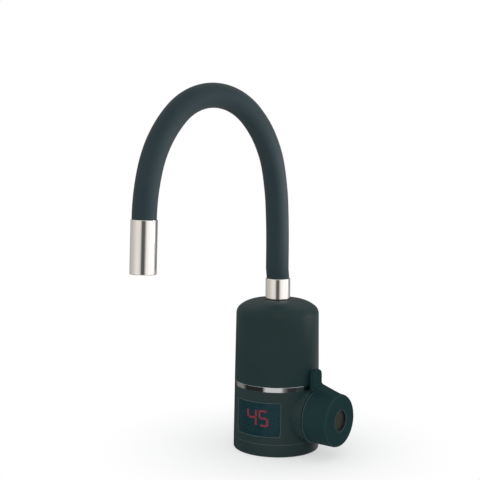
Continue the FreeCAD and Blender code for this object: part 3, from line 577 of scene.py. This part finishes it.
def turns(count):
    """Angles evenly round a full turn."""
    return [FULL_TURN * k / count for k in range(count)]


def join_rings(mesh, rings, closed=False):
    """Faces between neighbouring rings of points, and from the last to the first if closed."""
    following = rings[1:] + rings[:1] if closed else rings[1:]
    for a, b in zip(rings, following):
        count = len(a)
        for k in range(count):
            n = (k + 1) % count
            mesh.faces.new((a[k], a[n], b[n], b[k]))


def close_ends(mesh, rings):
    """Flat faces over the first and the last ring."""
    mesh.faces.new(rings[0])
    mesh.faces.new(list(reversed(rings[-1])))


def finish_mesh(name, mesh, look):
    """An object from a mesh under construction, smooth but for its flat ends."""
    bmesh.ops.recalc_face_normals(mesh, faces=mesh.faces)
    data = bpy.data.meshes.new(name)
    mesh.to_mesh(data)
    mesh.free()
    data.materials.append(look)
    obj = link(bpy.data.objects.new(name, data))
    for face in obj.data.polygons:
        face.use_smooth = len(face.vertices) <= 4
    return obj


# Hose of the spout: one smooth tube over the whole arch


def arch_point(s, z):
    """A point of the spout's plane, in metres in the part's frame."""
    return Vector((-s * math.sin(SPOUT_TURN), -s * math.cos(SPOUT_TURN), z)) * MM


def arch_line(step):
    """Points and headings along the arch, in the spout's plane."""
    line = []
    count = int((RISER_TOP - HOSE_START) / step)
    for i in range(count):
        line.append((0.0, HOSE_START + (RISER_TOP - HOSE_START) * i / count, 90.0))
    s, z, heading = 0.0, RISER_TOP, 90.0
    for radius, turn in ARCH_BENDS:
        inward = math.radians(heading - 90.0)
        cs, cz = s + radius * math.cos(inward), z + radius * math.sin(inward)
        count = max(LEAST_BEND_STEPS, int(math.radians(turn) * radius / step))
        for i in range(count):
            ahead = heading - turn * i / count
            angle = math.radians(heading + 90.0 - turn * i / count)
            line.append((cs + radius * math.cos(angle), cz + radius * math.sin(angle), ahead))
        heading -= turn
        angle = math.radians(heading + 90.0)
        s, z = cs + radius * math.cos(angle), cz + radius * math.sin(angle)
    ahead = math.radians(heading)
    count = int(HOSE_TAIL / step)
    for i in range(count + 1):
        run = HOSE_TAIL * i / count
        line.append((s + run * math.cos(ahead), z + run * math.sin(ahead), heading))
    return line


def ease(value, start, end):
    """Nought before the start, one after the end, smooth between them."""
    t = min(max((value - start) / (end - start), 0.0), 1.0)
    return t * t * (3.0 - 2.0 * t)


def bell(value, middle, width):
    return math.exp(-(((value - middle) / width) ** 2))


def lean(z, heading):
    """How far the soft riser stands over towards the outlet at a height."""
    if heading <= 0.0:
        return 0.0
    stand = LEAN_STAND * ease(z, *LEAN_RISE) * (1.0 - ease(z, *LEAN_FALL))
    return stand + LEAN_BULGE * bell(z, *LEAN_BULGE_AT) - LEAN_BACK * bell(z, *LEAN_BACK_AT)


def swell(heading, side):
    """How far the tube swells in a bend: inside it at the crown, outside it on the shoulders."""
    turn = math.radians(heading)
    if side < 0.0:
        return -side * SWELL_INSIDE * math.cos(turn) ** 2
    return side * SWELL_OUTSIDE * abs(math.sin(2.0 * turn)) * math.sin(turn) ** 2


def make_tube(name, radius, look, replaced):
    """A tube along the whole arch."""
    across = Vector((math.cos(SPOUT_TURN), -math.sin(SPOUT_TURN), 0.0))
    mesh = bmesh.new()
    rings = []
    for s, z, heading in arch_line(TUBE_STEP):
        centre = arch_point(s + lean(z, heading), z)
        out = math.radians(heading + 90.0)
        outward = arch_point(math.cos(out), math.sin(out)) / MM
        ring = []
        for angle in turns(TUBE_SIDES):
            offset = across * math.cos(angle) + outward * math.sin(angle)
            reach = radius + swell(heading, math.sin(angle))
            ring.append(mesh.verts.new(centre + offset * reach * MM))
        rings.append(ring)
    join_rings(mesh, rings)
    close_ends(mesh, rings)
    obj = finish_mesh(name, mesh, look)
    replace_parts(obj, *replaced)
    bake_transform(obj)


def hose_layers(layer):
    return ["hose_%s_%s" % (layer, run) for run in ("riser", "crown", "drop")]


make_tube("hose_skin", HOSE_RADIUS, silicone, hose_layers("sleeve"))
make_tube("hose_lining", LINING_RADIUS, lining, hose_layers("core"))


# Fine edges: beads along the window, the handle's rims and the seam, in lighter plastic as painted
# highlight lines


def bead(name, path, radius, look, body):
    """A closed bead along points with an outward direction at each."""
    count = len(path)
    mesh = bmesh.new()
    rings = []
    for i, (point, outward) in enumerate(path):
        ahead = (path[(i + 1) % count][0] - path[i - 1][0]).normalized()
        side = ahead.cross(outward).normalized()
        up = side.cross(ahead)
        ring = []
        for angle in turns(BEAD_SIDES):
            offset = side * math.cos(angle) + up * math.sin(angle)
            ring.append(mesh.verts.new((point + offset * radius) * MM))
        rings.append(ring)
    join_rings(mesh, rings, closed=True)
    obj = finish_mesh(name, mesh, look)
    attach(obj, body)


def body_radius(z):
    """Outside of the lower housing at a height."""
    return BODY_RADIUS - (BODY_RADIUS - MID_RADIUS) * z / RING_BOTTOM


def on_housing(u, z):
    """A point of the housing's outside at a width from the display's middle, and the way out."""
    radius = body_radius(z)
    turn = DISPLAY_TURN + math.asin(u / radius)
    outward = Vector((math.sin(turn), -math.cos(turn), 0.0))
    return outward * radius + Vector((0.0, 0.0, z)), outward


def window_path(grow):
    """The window's rounded outline laid on the housing."""
    half, low, high = WINDOW_HALF + grow, WINDOW_LOW - grow, WINDOW_HIGH + grow
    corner = WINDOW_CORNER + grow
    outline = []
    corners = (
        (half - corner, high - corner, 0.0),
        (corner - half, high - corner, 90.0),
        (corner - half, low + corner, 180.0),
        (half - corner, low + corner, 270.0),
    )
    for cu, cz, start in corners:
        for step in range(CORNER_STEPS + 1):
            angle = math.radians(start + 90.0 * step / CORNER_STEPS)
            outline.append((cu + corner * math.cos(angle), cz + corner * math.sin(angle)))
    path = []
    for i, (u, z) in enumerate(outline):
        nu, nz = outline[(i + 1) % len(outline)]
        pieces = max(1, int(math.hypot(nu - u, nz - z) / WINDOW_STEP))
        for k in range(pieces):
            share = k / pieces
            path.append(on_housing(u + (nu - u) * share, z + (nz - z) * share))
    return path


def circle_path(radius, centre, axis):
    """A circle about an axis, with its way out."""
    axis = Vector(axis)
    first = axis.orthogonal().normalized()
    second = axis.cross(first)
    path = []
    for angle in turns(CIRCLE_STEPS):
        outward = first * math.cos(angle) + second * math.sin(angle)
        path.append((Vector(centre) + outward * radius, outward))
    return path


def handle_circle(radius, x):
    """A circle about the handle's axis."""
    return circle_path(radius, (x, 0, AXIS_HEIGHT), (1, 0, 0))


hub_rim = handle_circle(HUB_RADIUS - HUB_BEAD_IN, HUB_REAR + HUB_BEAD_AT)
dish_rim_highlight = handle_circle(DISH_RADIUS + DISH_BEAD_OUT, HUB_FACE - DISH_BEAD_BELOW)
face_rim_highlight = handle_circle(HUB_RADIUS - FACE_BEAD_IN, HUB_FACE - FACE_BEAD_BELOW)
seam_radius = body_radius(SEAM_TOP) - SEAM_BEAD_IN
seam = circle_path(seam_radius, (0, 0, SEAM_TOP - SEAM_BEAD_BELOW), (0, 0, 1))
# The beads' lighter plastics paint highlight lines along these edges.
bead("window_edge_highlight", window_path(WINDOW_BEAD_OUT), WINDOW_BEAD, edge_highlight_plastic, "tap_body")
bead("handle_rim_highlight", hub_rim, HUB_BEAD, edge_highlight_plastic, "handle")
bead("dish_rim_highlight", dish_rim_highlight, DISH_BEAD, edge_highlight_plastic, "handle")
bead("face_rim_highlight", face_rim_highlight, FACE_BEAD, rim_highlight_plastic, "handle")
bead("seam_highlight_line", seam, SEAM_BEAD, seam_highlight_plastic, "tap_body")


# Chrome band between the housings


def lathe(name, profile, look, body):
    """A closed profile of radius and height turned about the body's axis."""
    mesh = bmesh.new()
    rings = []
    for angle in turns(LATHE_STEPS):
        turn = Vector((math.cos(angle), math.sin(angle), 0.0))
        rings.append([mesh.verts.new((turn * r + Vector((0.0, 0.0, z))) * MM) for r, z in profile])
    join_rings(mesh, rings, closed=True)
    obj = finish_mesh(name, mesh, look)
    obj.data.set_sharp_from_angle(angle=LATHE_SHARP)
    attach(obj, body)
    return obj


def rounded(r, z, corner, start):
    """Points of a profile's rounded corner, from a starting angle anticlockwise."""
    points = []
    for k in range(ROUND_STEPS + 1):
        angle = math.radians(start + 90.0 * k / ROUND_STEPS)
        points.append((r + corner * math.cos(angle), z + corner * math.sin(angle)))
    return points


flat_low = RING_BOTTOM + RING_ROUND + RING_FLAT_GAP
flat_high = RING_TOP - RING_ROUND - RING_FLAT_GAP
band_profile = [(RING_INNER, RING_TOP), (RING_INNER, RING_BOTTOM)]
band_profile += rounded(RING_OUTER - RING_ROUND, RING_BOTTOM + RING_ROUND, RING_ROUND, -90.0)
band_profile += [(RING_OUTER, flat_low), (RING_OUTER, flat_high)]
band_profile += rounded(RING_OUTER - RING_ROUND, RING_TOP - RING_ROUND, RING_ROUND, 0.0)
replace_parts(lathe("trim_band", band_profile, chrome, "tap_body"), "trim_ring")


# Handle with its edges softened


def soften(name, node, look, body):
    """A copy of a node's form with its edges softened."""
    data = nodes[node].data.copy()
    data.name = name
    obj = link(bpy.data.objects.new(name, data))
    remesh = obj.modifiers.new("grid", "REMESH")
    remesh.mode = "VOXEL"
    remesh.voxel_size = SOFTEN_GRID * MM
    relax = obj.modifiers.new("relax", "SMOOTH")
    relax.factor = SOFTEN_SHARE
    relax.iterations = SOFTEN_ROUNDS
    graph = bpy.context.evaluated_depsgraph_get()
    final = bpy.data.meshes.new_from_object(obj.evaluated_get(graph))
    obj.modifiers.clear()
    obj.data = final
    final.name = name
    final.materials.clear()
    final.materials.append(look)
    for face in final.polygons:
        face.use_smooth = True
    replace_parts(obj, node)
    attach(obj, body)


soften("handle_skin", "handle", handle_plastic, "handle")


# Small pieces: spring, gland ribs and base screws


def make_spring():
    """The push plate's return spring, as a fixed coil on the tap's body."""
    mesh = bmesh.new()
    rings = []
    count = SPRING_TURNS * SPRING_STEPS
    pitch = (SPRING_END - SPRING_START) / SPRING_TURNS
    rise = pitch / (FULL_TURN * SPRING_RADIUS)
    for i in range(count + 1):
        angle = FULL_TURN * SPRING_TURNS * i / count
        outward = Vector((0.0, math.cos(angle), math.sin(angle)))
        ahead = Vector((rise, -math.sin(angle), math.cos(angle))).normalized()
        side = ahead.cross(outward)
        centre = Vector((SPRING_START + pitch * angle / FULL_TURN, 0.0, AXIS_HEIGHT))
        centre += outward * SPRING_RADIUS
        ring = []
        for turn in turns(SPRING_SIDES):
            offset = outward * math.cos(turn) + side * math.sin(turn)
            ring.append(mesh.verts.new((centre + offset * SPRING_WIRE) * MM))
        rings.append(ring)
    join_rings(mesh, rings)
    close_ends(mesh, rings)
    obj = finish_mesh("spring_coil", mesh, plain_steel)
    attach(obj, "tap_body")
    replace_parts(obj, "return_spring")
    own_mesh(obj)


def make_grip():
    """Ribs along the cable gland's tapered nose."""
    mesh = bmesh.new()
    taper = (GLAND_SLIM - GLAND_WIDE) / (GLAND_TIP - GLAND_NOSE)
    for angle in turns(GRIP_COUNT):
        outward = Vector((math.cos(angle), 0.0, math.sin(angle)))
        side = Vector((-math.sin(angle), 0.0, math.cos(angle)))
        rings = []
        for i in range(GRIP_STEPS + 1):
            along = i / GRIP_STEPS
            full = GRIP_END_SHARE
            if 0 < i < GRIP_STEPS:
                full = math.sin(math.pi * along) ** GRIP_ROUNDING
            y = GRIP_START + (GRIP_END - GRIP_START) * along
            r = GLAND_WIDE + taper * (y - GLAND_NOSE)
            centre = Vector((0.0, y, GLAND_HEIGHT)) + outward * (r - GRIP_SINK)
            ring = []
            for turn in turns(GRIP_SIDES):
                offset = side * GRIP_HALF * math.cos(turn) + outward * GRIP_RISE * math.sin(turn)
                ring.append(mesh.verts.new((centre + offset * full) * MM))
            rings.append(ring)
        join_rings(mesh, rings)
        close_ends(mesh, rings)
    obj = finish_mesh("gland_grip", mesh, gland_plastic)
    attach(obj, "tap_body")


def screw_ring(mesh, middle, radius, z):
    """A round of points on a screw."""
    ring = []
    for t in turns(SCREW_SIDES):
        place = middle + Vector((radius * math.cos(t), radius * math.sin(t), z))
        ring.append(mesh.verts.new(place * MM))
    return ring


def recess_ring(mesh, middle, start, arm, half, z):
    """The outline of a cross recess at a height."""
    ring = []
    for quarter in range(4):
        t = start + quarter * math.pi / 2.0
        ahead = Vector((math.cos(t), math.sin(t), 0.0))
        left = Vector((-math.sin(t), math.cos(t), 0.0))
        for corner in (ahead * arm - left * half, ahead * arm + left * half, ahead * half + left * half):
            ring.append(mesh.verts.new((middle + corner + Vector((0.0, 0.0, z))) * MM))
    return ring


def loop_edges(mesh, loop):
    return [mesh.edges.new((a, b)) for a, b in zip(loop, loop[1:] + loop[:1])]


def make_base_screws():
    """Pan head screws of the base plate with a cross recess."""
    above_rim = (
        (SCREW_HEAD - SCREW_ROUND_MID, SCREW_LOW + SCREW_ROUND_MID),
        (SCREW_HEAD, SCREW_LOW + SCREW_ROUND),
        (SCREW_HEAD, SCREW_TOP),
        (SCREW_SHANK, SCREW_TOP),
        (SCREW_SHANK, SCREW_END - SCREW_POINT),
        (SCREW_POINT_RADIUS, SCREW_END),
    )
    deep_arm, deep_half = RECESS_ARM * RECESS_ARM_SHARE, RECESS_HALF * RECESS_HALF_SHARE
    mesh = bmesh.new()
    for turn in SCREW_TURNS:
        angle = math.radians(turn)
        middle = Vector((SCREW_RING * math.cos(angle), SCREW_RING * math.sin(angle), 0.0))
        rim = screw_ring(mesh, middle, SCREW_HEAD - SCREW_ROUND, SCREW_LOW)
        mouth = recess_ring(mesh, middle, angle, RECESS_ARM, RECESS_HALF, SCREW_LOW)
        edges = loop_edges(mesh, rim) + loop_edges(mesh, mouth)
        bmesh.ops.triangle_fill(mesh, edges=edges, use_beauty=True)
        deep = recess_ring(mesh, middle, angle, deep_arm, deep_half, SCREW_LOW + RECESS_DEPTH)
        join_rings(mesh, [mouth, deep])
        mesh.faces.new(deep)
        rings = [rim] + [screw_ring(mesh, middle, radius, z) for radius, z in above_rim]
        join_rings(mesh, rings)
        mesh.faces.new(rings[-1])
    obj = finish_mesh("base_screw_set", mesh, plain_steel)
    obj.data.set_sharp_from_angle(angle=SCREW_SHARP)
    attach(obj, "tap_body")
    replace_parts(obj, "base_screws")


make_spring()
make_grip()
make_base_screws()


# Light and camera, in metres: a large soft box by the camera, a faint one overhead and a rim lamp
# for the hose's edge
VIEW_TURN = math.radians(36.0)
TO_CAMERA = Vector((math.sin(VIEW_TURN), -math.cos(VIEW_TURN), 0.0))
TO_RIGHT = Vector((math.cos(VIEW_TURN), math.sin(VIEW_TURN), 0.0))
UP = Vector((0.0, 0.0, 1.0))
WHITE = (1.0, 1.0, 1.0, 1.0)


def around(angle, distance, height):
    """A place at an angle from the camera's side, seen from the object."""
    turn = VIEW_TURN + math.radians(angle)
    return Vector((math.sin(turn) * distance, -math.cos(turn) * distance, height))


def soft_box(name, angle, distance, height, size, glow, colour, target=(0.0, 0.0, 0.13), spread=180.0):
    """A rectangular lamp of a given brightness, aimed at a target."""
    lamp = bpy.data.lights.new(name, "AREA")
    lamp.shape = "RECTANGLE"
    lamp.size, lamp.size_y = size
    lamp.energy = glow * math.pi * size[0] * size[1]
    lamp.color = colour
    lamp.spread = math.radians(spread)
    obj = link(bpy.data.objects.new(name, lamp))
    obj.location = around(angle, distance, height)
    direction = Vector(target) - obj.location
    obj.rotation_euler = direction.to_track_quat("-Z", "Y").to_euler()


soft_box(
    "box_front",
    angle=5.0,
    distance=1.5,
    height=0.7,
    size=(0.9, 0.9),
    glow=1.8,
    colour=(1.0, 0.98, 0.96),
)
soft_box(
    "box_top",
    angle=180.0,
    distance=0.3,
    height=1.6,
    size=(1.2, 1.2),
    glow=0.05,
    colour=(1.0, 1.0, 1.0),
)
soft_box(
    "box_rim",
    angle=92.0,
    distance=0.9,
    height=0.13,
    size=(0.12, 0.12),
    glow=1.6,
    colour=(1.0, 0.92, 0.92),
    target=(0.0, -0.03, 0.194),
    spread=8.0,
)

# The room round the object, as degrees from the camera's side (right is positive) and brightness.
# At eye level: a warm panel left, a white one right, a dark slit where the camera looks in.
ROOM_LEVEL = (
    (-180, 0.28),
    (-116, 0.50),
    (-85, 0.58),
    (-52, 0.84),
    (-30, 0.82),
    (-21, 0.60),
    (-12, 0.10),
    (8, 0.10),
    (17, 0.50),
    (26, 0.92),
    (60, 1.18),
    (92, 1.02),
    (120, 0.56),
    (142, 0.27),
    (180, 0.28),
)
# Below the floor's rim: a dark studio with pale sheets under the camera and behind on the right, and
# a faint one behind on the left
ROOM_LOW = (
    (-180, 0.03),
    (-146, 0.04),
    (-130, 0.20),
    (-104, 0.22),
    (-90, 0.02),
    (-38, 0.02),
    (-29, 0.60),
    (11, 0.60),
    (20, 0.16),
    (32, 0.03),
    (112, 0.03),
    (122, 0.90),
    (152, 0.90),
    (172, 0.05),
    (180, 0.03),
)
WARMTH_LEVEL = 0.975
WARMTH_LOW = 0.985
ROOM_LIGHT = (0.90, 0.90, 0.90, 1.0)
WALL_RADIUS = 1.0
WALL_STEPS = 96
WALL_HEIGHTS = (-1.0, 0.75)
WALL_LOW = -0.110
WALL_LEVEL = -0.055
# Colour sockets of a mix node, which share their names with its other sockets
MIX_FIRST = 6
MIX_SECOND = 7
MIX_RESULT = 2


def shown(graph):
    """One for what the eye, gloss and glass see, nought for light on its way."""
    path = graph.add("ShaderNodeLightPath")
    first = graph.add("ShaderNodeMath", operation="ADD")
    graph.join(path.outputs["Is Camera Ray"], first.inputs[0])
    graph.join(path.outputs["Is Glossy Ray"], first.inputs[1])
    second = graph.add("ShaderNodeMath", operation="ADD", use_clamp=True)
    graph.join(first.outputs["Value"], second.inputs[0])
    graph.join(path.outputs["Is Transmission Ray"], second.inputs[1])
    return second.outputs["Value"]


def make_world():
    """A white background that lights the object at a plain level."""
    world = bpy.data.worlds.new("room")
    bpy.context.scene.world = world
    world.use_nodes = True
    g = Tree(world.node_tree)
    g.tree.nodes.clear()
    light = g.add("ShaderNodeBackground")
    light.inputs["Color"].default_value = ROOM_LIGHT
    white = g.add("ShaderNodeBackground")
    white.inputs["Color"].default_value = WHITE
    mix = g.add("ShaderNodeMixShader")
    g.join(shown(g), mix.inputs["Fac"])
    g.join(light.outputs["Background"], mix.inputs[1])
    g.join(white.outputs["Background"], mix.inputs[2])
    g.join(mix.outputs["Shader"], g.add("ShaderNodeOutputWorld").inputs["Surface"])


def along(g, direction):
    """How far a point lies along a direction."""
    return g.vector("DOT_PRODUCT", g.place, direction).outputs["Value"]


def panels(g, source, stops, tint):
    """Brightness round the room, with a tint on the left."""
    node = g.add("ShaderNodeValToRGB")
    ramp = node.color_ramp
    while len(ramp.elements) < len(stops):
        ramp.elements.new(0.5)
    for element, (angle, level) in zip(ramp.elements, stops):
        element.position = angle / 360.0 + 0.5
    for element, (angle, level) in zip(ramp.elements, stops):
        warmth = tint if angle < 0 else 1.0
        element.color = (level, level * warmth, level * warmth * warmth, 1.0)
    g.join(source, node.inputs["Fac"])
    return node.outputs["Color"]


def wall_look():
    """Panels round the room, over the bearing and the height of a point of the wall."""
    g = Graph("wall_panels")
    bearing = g.add("ShaderNodeMath", operation="ARCTAN2")
    g.join(along(g, TO_RIGHT), bearing.inputs[0])
    g.join(along(g, TO_CAMERA), bearing.inputs[1])
    turn = g.add("ShaderNodeMapRange")
    turn.inputs["From Min"].default_value = -math.pi
    turn.inputs["From Max"].default_value = math.pi
    g.join(bearing.outputs["Value"], turn.inputs["Value"])
    height = g.add("ShaderNodeMapRange", interpolation_type="SMOOTHSTEP")
    height.inputs["From Min"].default_value = WALL_LOW
    height.inputs["From Max"].default_value = WALL_LEVEL
    g.join(along(g, UP), height.inputs["Value"])
    both = g.add("ShaderNodeMix", data_type="RGBA")
    g.join(height.outputs["Result"], both.inputs["Factor"])
    g.join(panels(g, turn.outputs["Result"], ROOM_LOW, WARMTH_LOW), both.inputs[MIX_FIRST])
    g.join(panels(g, turn.outputs["Result"], ROOM_LEVEL, WARMTH_LEVEL), both.inputs[MIX_SECOND])
    glow = g.add("ShaderNodeEmission")
    g.join(both.outputs[MIX_RESULT], glow.inputs["Color"])
    g.join(glow.outputs["Emission"], g.tree.nodes["Material Output"].inputs["Surface"])
    return g.material


def make_wall():
    """A round studio wall of pale and dark panels, there for gloss alone."""
    mesh = bmesh.new()
    rings = []
    for height in WALL_HEIGHTS:
        ring = []
        for t in turns(WALL_STEPS):
            ring.append(mesh.verts.new((WALL_RADIUS * math.cos(t), WALL_RADIUS * math.sin(t), height)))
        rings.append(ring)
    join_rings(mesh, rings)
    data = bpy.data.meshes.new("studio_wall")
    mesh.to_mesh(data)
    mesh.free()
    data.materials.append(wall_look())
    obj = link(bpy.data.objects.new("studio_wall", data))
    obj.visible_camera = False
    obj.visible_diffuse = False
    obj.visible_transmission = False
    obj.visible_shadow = False


make_world()
make_wall()


# Floor, in metres: white to the eye by a share in the middle, fully so near the rim
FLOOR_RADIUS = 0.155
FLOOR_STEPS = 96
FLOOR_COLOUR = (0.90, 0.91, 0.92, 1.0)
FLOOR_WHITE_FROM = 0.04
FLOOR_WHITE_TO = FLOOR_RADIUS * 0.95
FLOOR_WHITE_LEAST = 0.50


def make_floor():
    """A round pale floor that goes over into the white background towards its rim."""
    mesh = bmesh.new()
    bmesh.ops.create_circle(mesh, cap_ends=True, segments=FLOOR_STEPS, radius=FLOOR_RADIUS)
    data = bpy.data.meshes.new("floor")
    mesh.to_mesh(data)
    mesh.free()
    obj = link(bpy.data.objects.new("floor", data))
    g = Graph("pale_floor")
    g.set(Base_Color=FLOOR_COLOUR, Roughness=0.9, Specular_IOR_Level=0.0)
    far = g.vector("LENGTH", g.place)
    rim = g.add("ShaderNodeMapRange", interpolation_type="SMOOTHSTEP")
    rim.inputs["From Min"].default_value = FLOOR_WHITE_FROM
    rim.inputs["From Max"].default_value = FLOOR_WHITE_TO
    rim.inputs["To Min"].default_value = FLOOR_WHITE_LEAST
    g.join(far.outputs["Value"], rim.inputs["Value"])
    eye = g.add("ShaderNodeMath", operation="MULTIPLY")
    g.join(rim.outputs["Result"], eye.inputs[0])
    g.join(shown(g), eye.inputs[1])
    white = g.add("ShaderNodeEmission")
    mix = g.add("ShaderNodeMixShader")
    g.join(eye.outputs["Value"], mix.inputs["Fac"])
    g.join(g.shader.outputs["BSDF"], mix.inputs[1])
    g.join(white.outputs["Emission"], mix.inputs[2])
    g.join(mix.outputs["Shader"], g.tree.nodes["Material Output"].inputs["Surface"])
    data.materials.append(g.material)
    obj.visible_glossy = False


make_floor()

# Camera at the photograph's viewing angle
CAMERA_DISTANCE = 0.753
CAMERA_HEIGHT = 0.2232
CAMERA_PITCH = math.radians(4.95)
CAMERA_YAW = math.radians(-2.21)
CAMERA_ROLL = math.radians(0.52)
CAMERA_SENSOR = 36.0
CAMERA_LENS = 75.0
CAMERA_NEAR = 0.01


def make_camera():
    data = bpy.data.cameras.new("camera")
    data.sensor_width = CAMERA_SENSOR
    data.lens = CAMERA_LENS
    data.clip_start = CAMERA_NEAR
    obj = link(bpy.data.objects.new("camera", data))
    level = TO_RIGHT * math.sin(CAMERA_YAW) - TO_CAMERA * math.cos(CAMERA_YAW)
    ahead = level * math.cos(CAMERA_PITCH) - UP * math.sin(CAMERA_PITCH)
    right = ahead.cross(UP).normalized()
    up = right.cross(ahead)
    right_rolled = right * math.cos(CAMERA_ROLL) + up * math.sin(CAMERA_ROLL)
    up_rolled = up * math.cos(CAMERA_ROLL) - right * math.sin(CAMERA_ROLL)
    turn = Matrix((right_rolled, up_rolled, -ahead)).transposed().to_4x4()
    place = around(0.0, CAMERA_DISTANCE, CAMERA_HEIGHT)
    obj.matrix_world = Matrix.Translation(place) @ turn
    bpy.context.scene.camera = obj


make_camera()
bpy.context.scene.view_settings.view_transform = "Standard"
